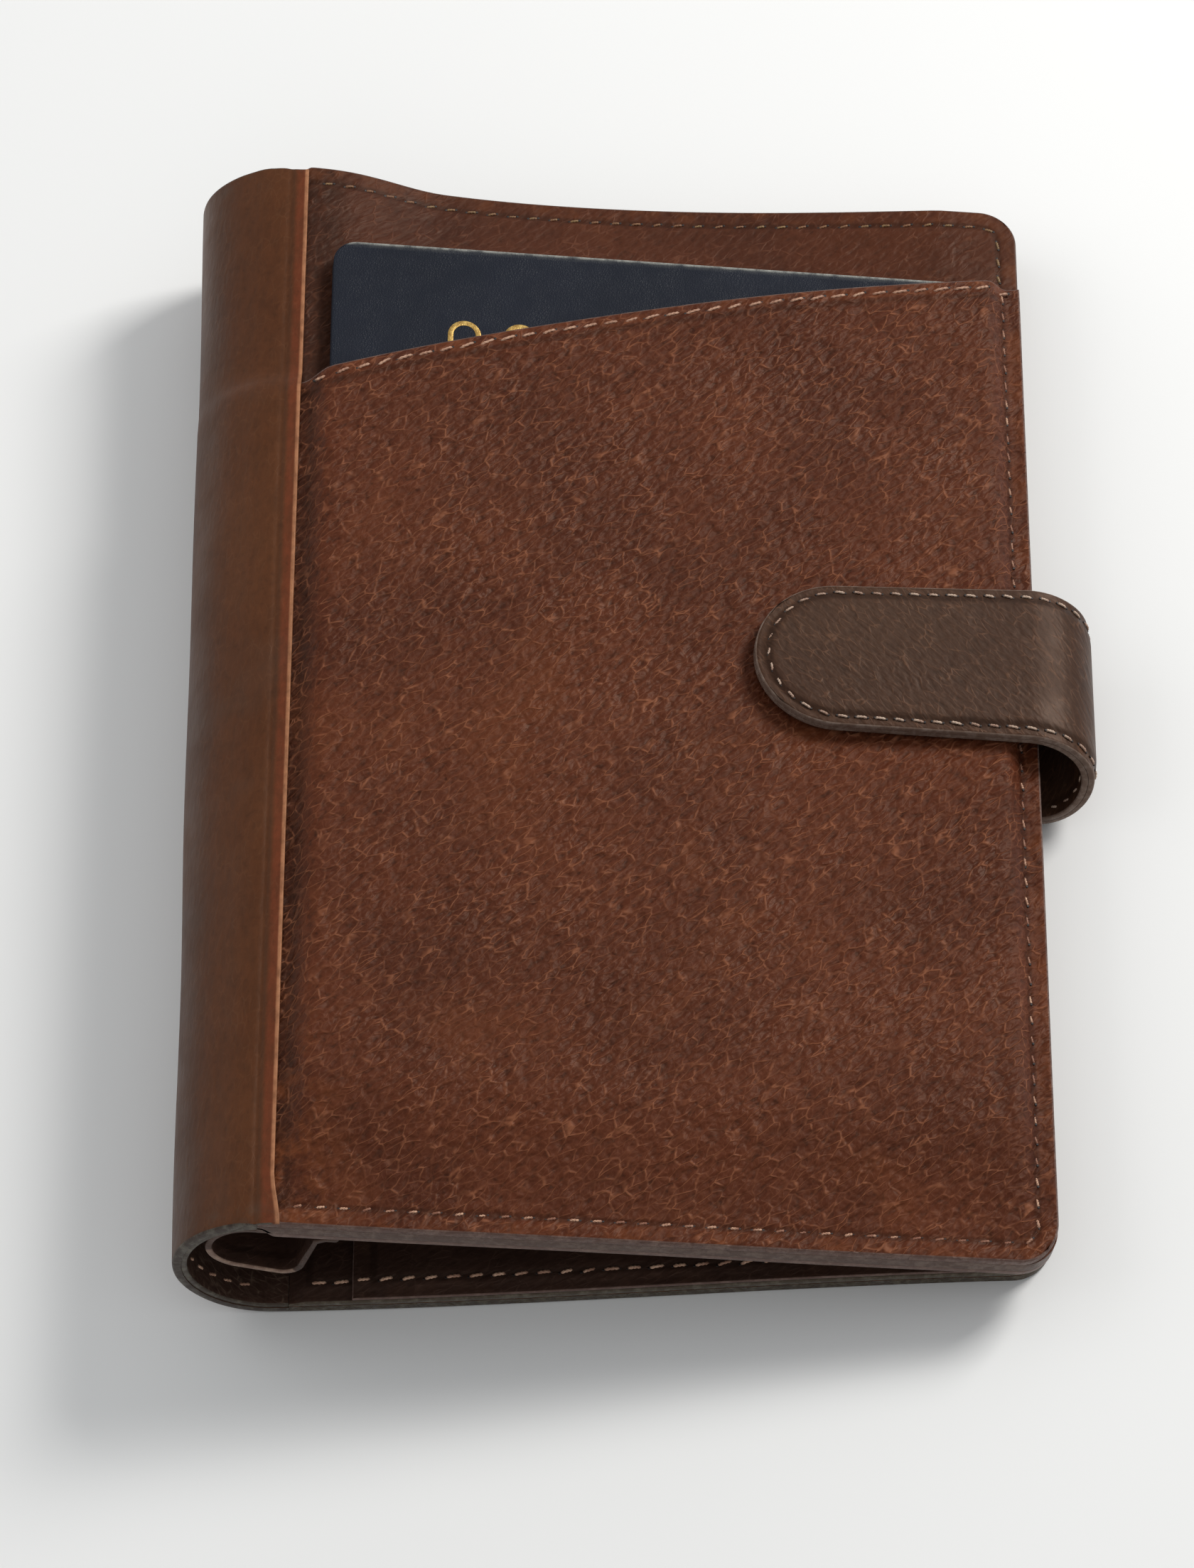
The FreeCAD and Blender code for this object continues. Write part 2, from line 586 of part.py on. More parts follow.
def checked(items):
    """Stop on any failed object or any sub-part without a sound shape."""
    doc.recompute()
    for item in doc.Objects:
        if "Invalid" in item.State or "Error" in item.State:
            raise RuntimeError(f"{item.Name} failed: {item.State}")
    for item in items:
        if item.Shape.isNull() or not item.Shape.isValid():
            raise RuntimeError(f"{item.Label} has no sound shape")
    return items


def main():
    """Build every sub-part and write each one to its own file."""
    nodes = back_layers()
    nodes.append(spine_layer("spine_cover", "0", "Dims.leather"))
    nodes.append(spine_layer("spine_lining", "Dims.leather", "Dims.lining"))
    nodes += front_layers() + outside_pocket() + pen_loop() + strap() + passport() + threads()
    os.makedirs("parts", exist_ok=True)
    for item in checked(nodes):
        item.Shape.exportStep(f"parts/{item.Label}.step")
        box_mm = item.Shape.BoundBox
        print(f"{item.Label:22s} x {box_mm.XMin:7.2f} {box_mm.XMax:7.2f}  "
              f"y {box_mm.YMin:7.2f} {box_mm.YMax:7.2f}  z {box_mm.ZMin:6.2f} {box_mm.ZMax:6.2f}")


main()
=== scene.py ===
import math

import bmesh
import bpy
import numpy as np
from mathutils import Matrix, Vector


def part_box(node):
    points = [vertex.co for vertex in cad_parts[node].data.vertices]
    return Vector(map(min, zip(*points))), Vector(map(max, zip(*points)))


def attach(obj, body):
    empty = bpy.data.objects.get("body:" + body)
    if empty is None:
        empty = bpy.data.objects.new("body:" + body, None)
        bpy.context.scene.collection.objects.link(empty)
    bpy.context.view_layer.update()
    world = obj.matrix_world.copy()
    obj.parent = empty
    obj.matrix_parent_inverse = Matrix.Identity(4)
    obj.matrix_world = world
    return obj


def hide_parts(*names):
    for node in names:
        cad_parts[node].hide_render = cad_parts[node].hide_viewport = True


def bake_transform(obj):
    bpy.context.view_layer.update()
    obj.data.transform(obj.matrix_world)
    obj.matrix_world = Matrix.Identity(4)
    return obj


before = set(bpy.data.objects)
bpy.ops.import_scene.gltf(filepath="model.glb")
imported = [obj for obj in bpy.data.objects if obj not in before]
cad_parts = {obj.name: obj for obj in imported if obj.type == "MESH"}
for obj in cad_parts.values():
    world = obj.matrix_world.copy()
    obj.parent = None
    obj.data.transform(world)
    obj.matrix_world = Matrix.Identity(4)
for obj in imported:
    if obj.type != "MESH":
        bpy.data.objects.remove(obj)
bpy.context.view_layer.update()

# ---------------------------------------------------------------- sizes, in millimetres
# Shapes are worked out in millimetres with x measured from the seam, where the round spine meets
# the flat covers. A flat piece is first laid out as (u, v, w): u runs away from the spine, v along
# the spine, and w out of the piece's outer face. A form then turns (u, v, w) into x, y, z.

MM = 0.001


def node_box(node):
    """A CAD node's lowest and highest corners in millimetres."""
    low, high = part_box(node)
    return np.array(low) / MM, np.array(high) / MM


BACK_LOW, BACK_HIGH = node_box("back_cover")
SEAM = BACK_LOW[0]
HALF = BACK_HIGH[1]
BACK_LENGTH = BACK_HIGH[0] - SEAM
LEATHER = BACK_HIGH[2]
LINING_LOW, LINING_HIGH = node_box("back_lining")
PANEL_LOW, PANEL_HIGH = node_box("document_pocket")
SPINE_LOW, SPINE_HIGH = node_box("spine_cover")
SPINE_REACH = SEAM - SPINE_LOW[0]
WEDGE = math.radians(9.2)
COS, SIN = math.cos(WEDGE), math.sin(WEDGE)
SEAM_GAP = 0.4
FRONT_HIGH = node_box("front_cover")[1]
FRONT_LENGTH = (FRONT_HIGH[0] - SEAM) / COS
COVER_TOP = FRONT_HIGH[2] + SEAM_GAP * SIN
BOARD = 1.0
LINING = LINING_HIGH[2] - LINING_LOW[2]
LINING_FACE = -LEATHER - BOARD - LINING
CORNER = 5.0
FORE_CORNERS = {(1, 0): CORNER, (1, 1): CORNER}
ALL_CORNERS = ((0, 0), (0, 1), (1, 0), (1, 1))
OPEN = 300.0  # the top of a sheet whose upper edge isn't sewn
BOARD_INSET = 1.8
MOUTH_RIGHT = node_box("passport_pocket")[1][1]
MOUTH_LEFT = 43.4
MOUTH_RADIUS = 430.0
POCKET_SEWN, POCKET_RISE, POCKET_LEATHER = 0.95, 2.75, 0.93
BOOK_LOW, BOOK_HIGH = node_box("passport_cover")
BOOK_BASE = 0.3
BOOK_THICK = 2.2
BOOK_BOARD = 0.45
BOOK_CORNER = 3.2
BOOK_U = (BOOK_LOW[0] - SEAM - BOOK_BASE * SIN) / COS
BOOK_WIDTH = 88.0
STITCH_PITCH = 2.8
STITCH_INSET = 2.6
MOUTH_INSET = 1.4
STRAP_BEND = 7.0
STRAP_BEND_X = 95.8
STRAP_OUTER, STRAP_CORE, STRAP_THICK = 0.9, 0.6, 2.1
STRAP_INSET = 1.2
STRAP_PITCH = 2.45


# ---------------------------------------------------------------- plane and curve helpers

def smooth(value):
    """Smoothstep of a value clipped to 0 and 1."""
    t = np.clip(value, 0.0, 1.0)
    return t * t * (3 - 2 * t)


def bell(value, middle, width):
    """A smooth bump: 1 at the middle, and nearly 0 at twice the width from it."""
    return np.exp(-((value - middle) / width) ** 2)


def arc(x, z, radius, start, end, count=28):
    """Points on an arc, between two angles in degrees."""
    turn = np.radians(np.linspace(start, end, count))
    return np.stack([x + radius * np.cos(turn), z + radius * np.sin(turn)], 1)


def path(pieces, side=1):
    """Length of a plane curve, and a function from (distance, offset) to its plane coordinates.

    The offset is to the left of travel, or to the right with side -1.
    """
    points = np.concatenate([np.atleast_2d(np.array(p, float)) for p in pieces])
    step = np.hypot(*np.diff(points, axis=0).T)
    points = points[np.r_[True, step > 1e-5]]
    distance = np.r_[0.0, np.cumsum(np.hypot(*np.diff(points, axis=0).T))]
    tangent = np.gradient(points, distance, axis=0)
    tangent /= np.linalg.norm(tangent, axis=1)[:, None]
    normal = np.stack([-tangent[:, 1], tangent[:, 0]], 1) * side

    def at(u, w):
        x = np.interp(u, distance, points[:, 0]) + np.interp(u, distance, normal[:, 0]) * w
        z = np.interp(u, distance, points[:, 1]) + np.interp(u, distance, normal[:, 1]) * w
        return x, z

    return distance[-1], at


def wobble(u, v, seed, size, depth):
    """A gentle unevenness: a few waves with seeded directions and phases."""
    draw = np.random.default_rng(seed)
    total = np.zeros(np.broadcast(u, v).shape)
    for _ in range(6):
        turn, phase = draw.uniform(0, 2 * math.pi, 2)
        length = size * draw.uniform(0.6, 1.6)
        along = (u * math.cos(turn) + v * math.sin(turn)) / length
        total = total + np.sin(2 * math.pi * along + phase)
    return total * depth / 6


def rim_distance(u, v, box, radius):
    """Distance inside a rectangle (u0, u1, v0, v1) whose corners at u1 are rounded."""
    u0, u1, v0, v1 = box
    middle_u, middle_v = (u0 + u1) / 2, (v0 + v1) / 2
    r = np.where(u > middle_u, radius, 0.01)
    qu = np.abs(u - middle_u) - (u1 - u0) / 2 + r
    qv = np.abs(v - middle_v) - (v1 - v0) / 2 + r
    outside = np.hypot(np.maximum(qu, 0), np.maximum(qv, 0))
    return r - outside - np.minimum(np.maximum(qu, qv), 0)


def sheet_rim(u, v, start, end, top=HALF):
    """Distance from the sewn edges of a cover's sheet, from start to its fore edge."""
    return rim_distance(u, v, (start, end, -HALF, top), CORNER)


# Distances from a sewn edge at which a grid has a line.
RIM_LINES = np.array([0.6, 1.1, 1.6, 2.0, 2.3, 2.6, 2.9, 3.2, 3.7, 4.3, 5.0])


def lines(low, high, step, fine_low=True):
    """Grid lines that are closer together near a sewn edge."""
    start = low + RIM_LINES if fine_low else np.array([low + step])
    end = high - RIM_LINES[::-1]
    count = max(2, int(round((end[0] - start[-1]) / step)))
    middle = np.linspace(start[-1], end[0], count + 1)[1:-1]
    return np.concatenate([[low], start, middle, end, [high]])


def plan(us, vs, corners=None):
    """A grid over a rectangle, with rounded corners given as {(u end, v end): radius}."""
    grid_u, grid_v = np.meshgrid(us, vs, indexing="ij")
    for (u_end, v_end), r in (corners or {}).items():
        u_base = us[-1] - r if u_end else us[0] + r
        v_base = vs[-1] - r if v_end else vs[0] + r
        u_sign, v_sign = (1 if u_end else -1), (1 if v_end else -1)
        a = (grid_u - u_base) * u_sign / r
        b = (grid_v - v_base) * v_sign / r
        inside = (a > 0) & (b > 0)
        a_in, b_in = a[inside], b[inside]
        grid_u[inside] = u_base + u_sign * r * a_in * np.sqrt(1 - b_in ** 2 / 2)
        grid_v[inside] = v_base + v_sign * r * b_in * np.sqrt(1 - a_in ** 2 / 2)
    return grid_u, grid_v


# ---------------------------------------------------------------- mesh helpers

def make_piece(name, places, rest, marks, faces, material):
    """A mesh object from places in seam millimetres, with the numbers that its material reads."""
    faces = [list(face) for face in faces]
    shifted = (places + np.array([SEAM, 0, 0])) * MM
    mesh = bpy.data.meshes.new(name)
    mesh.from_pydata(shifted.tolist(), [], faces)
    mesh.polygons.foreach_set("use_smooth", [len(face) == 4 for face in faces])
    data = mesh.attributes.new("rest", "FLOAT_VECTOR", "POINT").data
    data.foreach_set("vector", np.asarray(rest, np.float32).ravel())
    for mark, values in marks.items():
        data = mesh.attributes.new(mark, "FLOAT", "POINT").data
        data.foreach_set("value", np.asarray(values, np.float32))
    mesh.materials.append(material)
    shell = bmesh.new()
    shell.from_mesh(mesh)
    bmesh.ops.recalc_face_normals(shell, faces=shell.faces)
    shell.to_mesh(mesh)
    shell.free()
    piece = bpy.data.objects.new(name, mesh)
    bpy.context.scene.collection.objects.link(piece)
    return piece


def as_height(value):
    """A height as a function of (u, v), from a function or one number."""
    return value if callable(value) else lambda u, v: value + 0 * u


def outline_ring(n, m):
    """Grid places round a grid's border, in order, as two arrays of indices."""
    rows = np.r_[0:n, np.full(m - 1, n - 1), n - 2:-1:-1, np.zeros(m - 2, int)]
    columns = np.r_[np.zeros(n, int), 1:m, np.full(n - 1, m - 1), m - 2:0:-1]
    return rows, columns


def ring_faces(loops):
    """Four-cornered faces between each loop of point numbers and the next."""
    pairs = zip(loops[:-1], loops[1:])
    return [np.stack([one, two, np.roll(two, -1), np.roll(one, -1)], 1) for one, two in pairs]


def layer(name, grid, top, low, form, material, edge=0.3, rim=None, wear=None, butt=None):
    """A closed layer of leather, board or cloth: two faces and a rounded edge all round.

    grid is (u, v), top and low are the heights of the two faces. edge is the radius of the edge,
    or one radius for each face. rim is the distance from the sewn edge, and wear is how rubbed
    each place is, from 0 to 1. The edge is not rounded along u = butt, where the layer meets its
    neighbour.
    """
    steps = 3
    top, low = as_height(top), as_height(low)
    u, v = grid
    n, m = u.shape
    ring = outline_ring(n, m)
    ring_u, ring_v = u[ring], v[ring]
    step_u = np.roll(ring_u, -1) - np.roll(ring_u, 1)
    step_v = np.roll(ring_v, -1) - np.roll(ring_v, 1)
    size = np.hypot(step_u, step_v)
    out_u, out_v = step_v / size, -step_u / size
    joined = np.zeros(len(ring_u), bool) if butt is None else np.abs(ring_u - butt) < 1e-6
    ends = joined & (np.abs(ring_v - v.mean()) > np.ptp(v) / 2 - 1e-6)
    out_u, out_v = np.where(ends, 0.0, out_u), np.where(ends, np.sign(ring_v), out_v)
    ring_high, ring_low = top(ring_u, ring_v), low(ring_u, ring_v)

    def radius(value):
        value = value(ring_u, ring_v) if callable(value) else value
        value = np.minimum(value, (ring_high - ring_low) * 0.45)
        return np.where(joined & ~ends, 0.01, value)

    edge_high, edge_low = map(radius, edge if isinstance(edge, tuple) else (edge, edge))
    rows = []

    def add_face(heights, back):
        face_u, face_v, side = u.copy(), v.copy(), np.zeros((n, m))
        face_u[ring] -= out_u * back
        face_v[ring] -= out_v * back
        side[ring] = 0.25
        rows.append(np.stack([face_u.ravel(), face_v.ravel(), heights.ravel(), side.ravel()]))

    def add_ring(out, height):
        side = np.ones(len(out))
        rows.append(np.stack([ring_u + out_u * out, ring_v + out_v * out, height, side]))

    add_face(top(u, v), edge_high)
    turns = np.linspace(0, math.pi / 2, steps + 1)[1:]
    for turn in turns:
        add_ring(edge_high * (math.sin(turn) - 1), ring_high - edge_high * (1 - math.cos(turn)))
    for turn in turns[::-1]:
        add_ring(edge_low * (math.sin(turn) - 1), ring_low + edge_low * (1 - math.cos(turn)))
    add_face(low(u, v), edge_low)

    count = len(ring_u)
    under = n * m + 2 * steps * count
    flat = ring[0] * m + ring[1]
    loops = [flat] + [n * m + k * count + np.arange(count) for k in range(2 * steps)]
    i, j = np.meshgrid(np.arange(n - 1), np.arange(m - 1), indexing="ij")
    cell = (i * m + j).ravel()
    upper = np.stack([cell, cell + m, cell + m + 1, cell + 1], 1)
    faces = [upper, upper[:, ::-1] + under] + ring_faces(loops + [under + flat])
    all_u, all_v, all_w, side = np.concatenate(rows, axis=1)
    distance = rim(all_u, all_v) if rim else np.full(len(all_u), 50.0)
    rubbed = wear(all_u, all_v) if wear else 1 - smooth(distance / 5.0)
    places = np.stack(form(all_u, all_v, all_w), 1)
    rest = np.stack([all_u, all_v, all_w], 1)
    marks = {"side": side, "rim": distance, "wear": rubbed}
    return make_piece(name, places, rest, marks, np.concatenate(faces), material)


def along(points, pitch):
    """Places and headings at an even pitch along a line of (u, v) points."""
    points = np.asarray(points, float)
    distance = np.r_[0.0, np.cumsum(np.hypot(*np.diff(points, axis=0).T))]
    count = int(distance[-1] // pitch)
    at = (np.arange(count) + 0.5) * distance[-1] / count
    u, v = np.interp(at, distance, points[:, 0]), np.interp(at, distance, points[:, 1])
    ahead = at + 0.2
    turn_u = np.interp(ahead, distance, points[:, 0]) - u
    turn_v = np.interp(ahead, distance, points[:, 1]) - v
    return np.stack([u, v, np.arctan2(turn_v, turn_u)], 1)


def add_tube(places, faces, rings):
    """A closed tube through equal rings of places, added to the two lists."""
    sides = len(rings[0])
    numbers = [len(places) + k * sides + np.arange(sides) for k in range(len(rings))]
    for ring in rings:
        places += ring
    faces += [tuple(face) for face in np.concatenate(ring_faces(numbers))]
    faces += [tuple(numbers[0][::-1]), tuple(numbers[-1])]


def stitch_shape(length, radius):
    """One stitch of two-ply thread between two needle holes, with a mark of 1 in the holes."""
    places, faces = [], []
    circle = np.linspace(0, 2 * math.pi, 11)[:-1]
    spans = np.linspace(-1, 1, 13)
    rings = []
    for t in spans:
        lift = radius * (0.75 - 2.4 * abs(t) ** 4)
        ply = radius * (1.0 + 0.2 * np.cos(2 * (circle - 2.0 * math.pi * t)))
        rings.append([(t * length / 2, r * math.cos(a), lift + r * math.sin(a))
                      for r, a in zip(ply, circle)])
    add_tube(places, faces, rings)
    ends = list(np.repeat(0.85 * np.abs(spans), len(circle)))
    # Each needle hole is a small disc, marked 1 so that the thread's material paints it near black
    # as shade.
    hole = np.linspace(0, 2 * math.pi, 9)[:-1]
    for sign in (-1, 1):
        add_tube(places, faces, [
            [(sign * length * 0.47 + 1.15 * wide * radius * math.cos(a),
              1.05 * wide * radius * math.sin(a), height) for a in hole]
            for height, wide in ((-0.12, 1.0), (0.022, 1.0), (0.03, 0.6))])
        ends += [1.0] * 3 * len(hole)
    return np.array(places), faces, np.array(ends)


def stitches(name, marks, height, form, material, seed, size=(2.1, 0.2), sunk=0.0, face=1.0,
             slant=0.14):
    """Stitches at (u, v, heading) marks, lying on the face of that height.

    size is a stitch's length and its thread's radius, and sunk is how deep it is pulled in. face
    is -1 on the underside.
    """
    shape, shape_faces, shape_ends = stitch_shape(*size)
    height = as_height(height)
    draw = np.random.default_rng(seed)
    rests, faces = [], []
    for number, (u, v, heading) in enumerate(marks):
        turn = heading + slant * face + draw.normal(0, 0.07)
        a, b = shape[:, 0] * draw.uniform(0.86, 1.06), shape[:, 1]
        deeper = np.where(shape_ends < 0.99, sunk + abs(draw.normal(0, 0.07)), 0.0)
        rests.append(np.stack([u + a * math.cos(turn) - b * math.sin(turn),
                               v + a * math.sin(turn) + b * math.cos(turn),
                               float(height(u, v)) + face * (shape[:, 2] - deeper)], 1))
        faces += [[i + number * len(shape) for i in corners] for corners in shape_faces]
    rest = np.concatenate(rests)
    marks = {"ends": np.tile(shape_ends, len(rests))}
    return make_piece(name, np.stack(form(*rest.T), 1), rest, marks, faces, material)


# ---------------------------------------------------------------- materials

def colour(red, green, blue):
    """A display colour, 0 to 255, as the linear numbers that a shader takes."""
    out = []
    for value in (red, green, blue):
        c = value / 255
        out.append(c / 12.92 if c <= 0.04045 else ((c + 0.055) / 1.055) ** 2.4)
    return (*out, 1.0)


class Shader:
    """A material under construction, with short calls for the nodes that it uses."""

    def __init__(self, name):
        self.material = bpy.data.materials.new(name)
        self.material.use_nodes = True
        self.tree = self.material.node_tree
        self.surface = self.tree.nodes["Principled BSDF"]

    def node(self, kind, inputs=None, **settings):
        made = self.tree.nodes.new(kind)
        for key, value in settings.items():
            setattr(made, key, value)
        for key, value in (inputs or {}).items():
            self.feed(made.inputs[key], value)
        return made

    def feed(self, socket, value):
        if isinstance(value, bpy.types.NodeSocket):
            self.tree.links.new(value, socket)
        else:
            socket.default_value = value

    def rest(self):
        return self.node("ShaderNodeAttribute", attribute_name="rest").outputs["Vector"]

    def mark(self, name):
        return self.node("ShaderNodeAttribute", attribute_name=name).outputs["Fac"]

    def math(self, operation, a, b=0.0, clamp=False):
        made = self.node("ShaderNodeMath", {0: a, 1: b}, operation=operation, use_clamp=clamp)
        return made.outputs[0]

    def times(self, a, b, clamp=False):
        return self.math("MULTIPLY", a, b, clamp)

    def away(self, value, middle):
        """Distance of a value from its middle."""
        return self.math("ABSOLUTE", self.math("SUBTRACT", value, middle))

    def vector(self, operation, inputs):
        return self.node("ShaderNodeVectorMath", inputs, operation=operation).outputs[0]

    def span(self, value, low, high, out_low=0.0, out_high=1.0):
        """A smooth step of the value from low to high, between two outputs."""
        limits = {"Value": value, "From Min": low, "From Max": high,
                  "To Min": out_low, "To Max": out_high}
        return self.node("ShaderNodeMapRange", limits, interpolation_type="SMOOTHSTEP").outputs[0]

    def mix(self, factor, a, b):
        colour_inputs = {0: factor, 6: a, 7: b}
        return self.node("ShaderNodeMix", colour_inputs, data_type="RGBA").outputs[2]

    def noise(self, at, scale, detail=2.0, roughness=0.5):
        made = self.node("ShaderNodeTexNoise", {
            "Vector": at, "Scale": scale, "Detail": detail, "Roughness": roughness})
        return made.outputs[0]

    def patchy(self, at, noise, low, high, out_low=0.0, out_high=1.0):
        """A noise of that (scale, detail, roughness), spread between two values."""
        return self.span(self.noise(at, *noise), low, high, out_low, out_high)

    def drift(self, at, scale, amount):
        """at, pushed about by a soft noise."""
        push = self.node("ShaderNodeTexNoise", {"Vector": at, "Scale": scale, "Detail": 2.0})
        centred = self.vector("SUBTRACT", {0: push.outputs["Color"], 1: (0.5,) * 3})
        return self.vector("ADD", {0: at, 1: self.vector("SCALE", {0: centred, "Scale": amount})})

    def turned(self, at, degrees, scale):
        """at, turned so that u runs along a direction, then scaled."""
        turn = {"Vector": at, "Rotation": (0.0, 0.0, math.radians(-degrees))}
        spun = self.node("ShaderNodeMapping", turn)
        return self.vector("MULTIPLY", {0: spun.outputs[0], 1: scale})

    def cells(self, at):
        """Distance to the nearest border between cells one unit apart."""
        made = self.node("ShaderNodeTexVoronoi", {"Vector": at, "Scale": 1.0},
                         feature="DISTANCE_TO_EDGE")
        return made.outputs["Distance"]

    def bump(self, height, distance, strength=1.0):
        depth = {"Height": height, "Distance": distance * MM, "Strength": strength}
        return self.node("ShaderNodeBump", depth).outputs[0]

    def finish(self, **sockets):
        for key, value in sockets.items():
            self.feed(self.surface.inputs[key.replace("_", " ")], value)
        return self.material


def leather(name, dark, mid, light, tan, grain=1.0, angle=42.0, relief=0.26, crease=1.0,
            paint=(74, 56, 52), fleck=(96, 74, 66), rough=(0.46, 0.62), wear=0.6, seed=0.0,
            across=(), painted=None, gloss=0.2, polish=0.08):
    """Grained leather: long hollows and small pits darkened with painted shade, thin light creases
    that are partly a painted highlight, patches and worn edges.

    dark, mid and light are the base and the creases, tan shows where it is worn, and paint and
    fleck are the coat on its cut edge, all as display colours. The coat covers the whole edge, or
    only between the two distances in painted. angle is the way the grain runs, in degrees, and
    across is a list of ((distance, half width), colour, strength) bands over the base.
    """
    dark, mid, light, tan, paint, fleck = (
        colour(*c) for c in (dark, mid, light, tan, paint, fleck))
    # shade is the painted shade put in the grain's hollows and pits and along the stitch groove.
    shade = tuple(c * 0.30 for c in dark[:3]) + (1.0,)
    s = Shader(name)
    rest = s.rest()
    distance = s.node("ShaderNodeSeparateXYZ", {0: rest}).outputs["X"]
    at = s.vector("ADD", {0: rest, 1: (seed, seed * 2, seed)}) if seed else rest
    pushed = s.drift(at, 0.45, 0.7)
    streak = s.noise(s.turned(pushed, angle, (0.5 / grain, 1.2 / grain, 0.8)), 1.0, 1.0, 0.4)
    hollow = s.span(streak, 0.50, 0.34)
    gap = s.cells(s.turned(pushed, angle, (0.35 / grain, 0.92 / grain, 0.6 / grain)))
    net = s.times(s.span(gap, 0.0, 0.10, 1.0, 0.0), s.patchy(at, (0.42,), 0.40, 0.64, 0.3, 1.0))
    fine = s.cells(s.turned(pushed, angle + 18, (0.9 / grain, 1.5 / grain, 1.0 / grain)))
    fine = s.times(s.span(fine, 0.0, 0.14, 1.0, 0.0), 0.15)
    ridge = s.times(s.math("MAXIMUM", net, fine), s.span(streak, 0.38, 0.60, 0.45, 1.0))

    base = s.mix(s.patchy(at, (0.04, 3.0, 0.55), 0.34, 0.66), dark, mid)
    # Bands over the base, broken up by streaks. The dark bands beside the spine's lap are painted
    # shade, and the lap's light edge line is partly a painted highlight.
    for (place, half_width), band, strength in across:
        near = s.span(s.away(distance, place), half_width * 0.4, half_width, strength, 0.0)
        stretched = s.turned(at, 0, (0.9, 0.3, 0.3))
        rubbed = s.patchy(stretched, (1.0, 3.0, 0.6), 0.3, 0.6, 0.55, 1.0)
        base = s.mix(s.times(near, rubbed), base, colour(*band))
    base = s.mix(s.times(s.patchy(at, (0.9, 4.0, 0.65), 0.28, 0.72), 0.3), base, dark)
    # Painted shade in the grain's hollows and pits.
    pit = s.times(hollow, s.patchy(pushed, (1.3,), 0.50, 0.66))
    base = s.mix(s.times(hollow, 0.2 * crease, True), base, shade)
    base = s.mix(s.times(pit, 0.5 * crease, True), base, shade)
    # The thin light lines on the grain's ridges are partly a painted highlight.
    base = s.mix(s.times(s.times(ridge, crease, True), 0.46), base, light)
    worn = s.times(s.mark("wear"), s.patchy(at, (0.22, 4.0, 0.65), 0.44, 0.66))
    loose = s.times(s.patchy(at, (0.05, 3.0, 0.6), 0.56, 0.72), 0.4)
    base = s.mix(s.times(s.math("MAXIMUM", worn, loose), wear, True), base, tan)
    # Painted shade along the groove that a row of stitches presses in.
    groove_shade = s.span(s.away(s.mark("rim"), STITCH_INSET), 0.2, 0.7, 0.45, 0.0)
    base = s.mix(groove_shade, base, shade)
    side = s.mark("side")
    coated = s.span(side, 0.35, 0.9)
    if painted:
        coated = s.times(coated, s.span(distance, painted[0], painted[0] + 0.6))
        coated = s.times(coated, s.span(distance, painted[1] - 0.35, painted[1], 1.0, 0.0))
    coat = s.mix(s.patchy(at, (0.8, 4.0, 0.7), 0.42, 0.66), paint, fleck)
    base = s.mix(coated, base, coat)

    height = s.math("ADD", s.times(ridge, 0.35), s.times(streak, 1.8))
    height = s.math("ADD", height, s.times(s.noise(pushed, 1.1, 1.0, 0.4), 0.6))
    height = s.math("ADD", height, s.times(s.noise(at, 0.34), 1.1))
    roughness = s.patchy(at, (0.12, 3.0, 0.6), 0.3, 0.7, *rough)
    roughness = s.math("SUBTRACT", roughness, s.times(side, polish))
    return s.finish(Base_Color=base, Roughness=roughness, Normal=s.bump(height, relief),
                    Specular_IOR_Level=gloss, Specular_Tint=(1.0, 0.72, 0.56, 1.0))


def thread_material(name, light, dark, dirt=0.55):
    """Waxed two-ply thread, darker where it dips into its needle holes, which are painted near
    black as shade.
    """
    s = Shader(name)
    at = s.rest()
    fibre = s.noise(s.turned(at, 30, (2.0, 9.0, 9.0)), 1.0, 3.0)
    base = s.mix(s.span(fibre, 0.35, 0.65), colour(*dark), colour(*light))
    worn = s.patchy(at, (0.25, 3.0), 0.42, 0.56)
    base = s.mix(s.times(worn, dirt), base, colour(120, 72, 52))
    ends = s.mark("ends")
    # Darker where the thread dips towards a hole, and near black in the hole discs, which are
    # painted shade.
    base = s.mix(s.span(ends, 0.45, 0.85, 0.0, 0.85), base, colour(74, 42, 30))
    base = s.mix(s.span(ends, 0.9, 0.97), base, colour(26, 14, 10))
    return s.finish(Base_Color=base, Roughness=0.5, Normal=s.bump(fibre, 0.05, 0.8),
                    Specular_IOR_Level=0.4)


def cloth_material(name, light, dark, weave=3.2, relief=0.05, wear=None):
    """Fine woven or embossed cloth, with worn edges when a wear colour is given."""
    light, dark = colour(*light), colour(*dark)
    s = Shader(name)
    at = s.rest()
    grid = s.cells(s.turned(s.drift(at, 1.2, 0.25), 0, (weave, weave, weave)))
    cell = s.span(grid, 0.0, 0.3)
    base = s.mix(s.patchy(at, (0.06, 3.0, 0.6), 0.3, 0.7), dark, light)
    base = s.mix(s.times(s.math("SUBTRACT", 1.0, cell), 0.35), base, dark)
    roughness = s.patchy(at, (0.3,), 0.3, 0.7, 0.5, 0.66)
    if wear:
        torn = s.patchy(at, (0.55, 4.0, 0.7), 0.32, 0.62, 0.25, 1.0)
        edge = s.times(s.mark("wear"), torn, True)
        base = s.mix(s.times(edge, 0.85), base, colour(*wear))
    return s.finish(Base_Color=base, Roughness=roughness, Normal=s.bump(cell, relief),
                    Specular_IOR_Level=0.16)


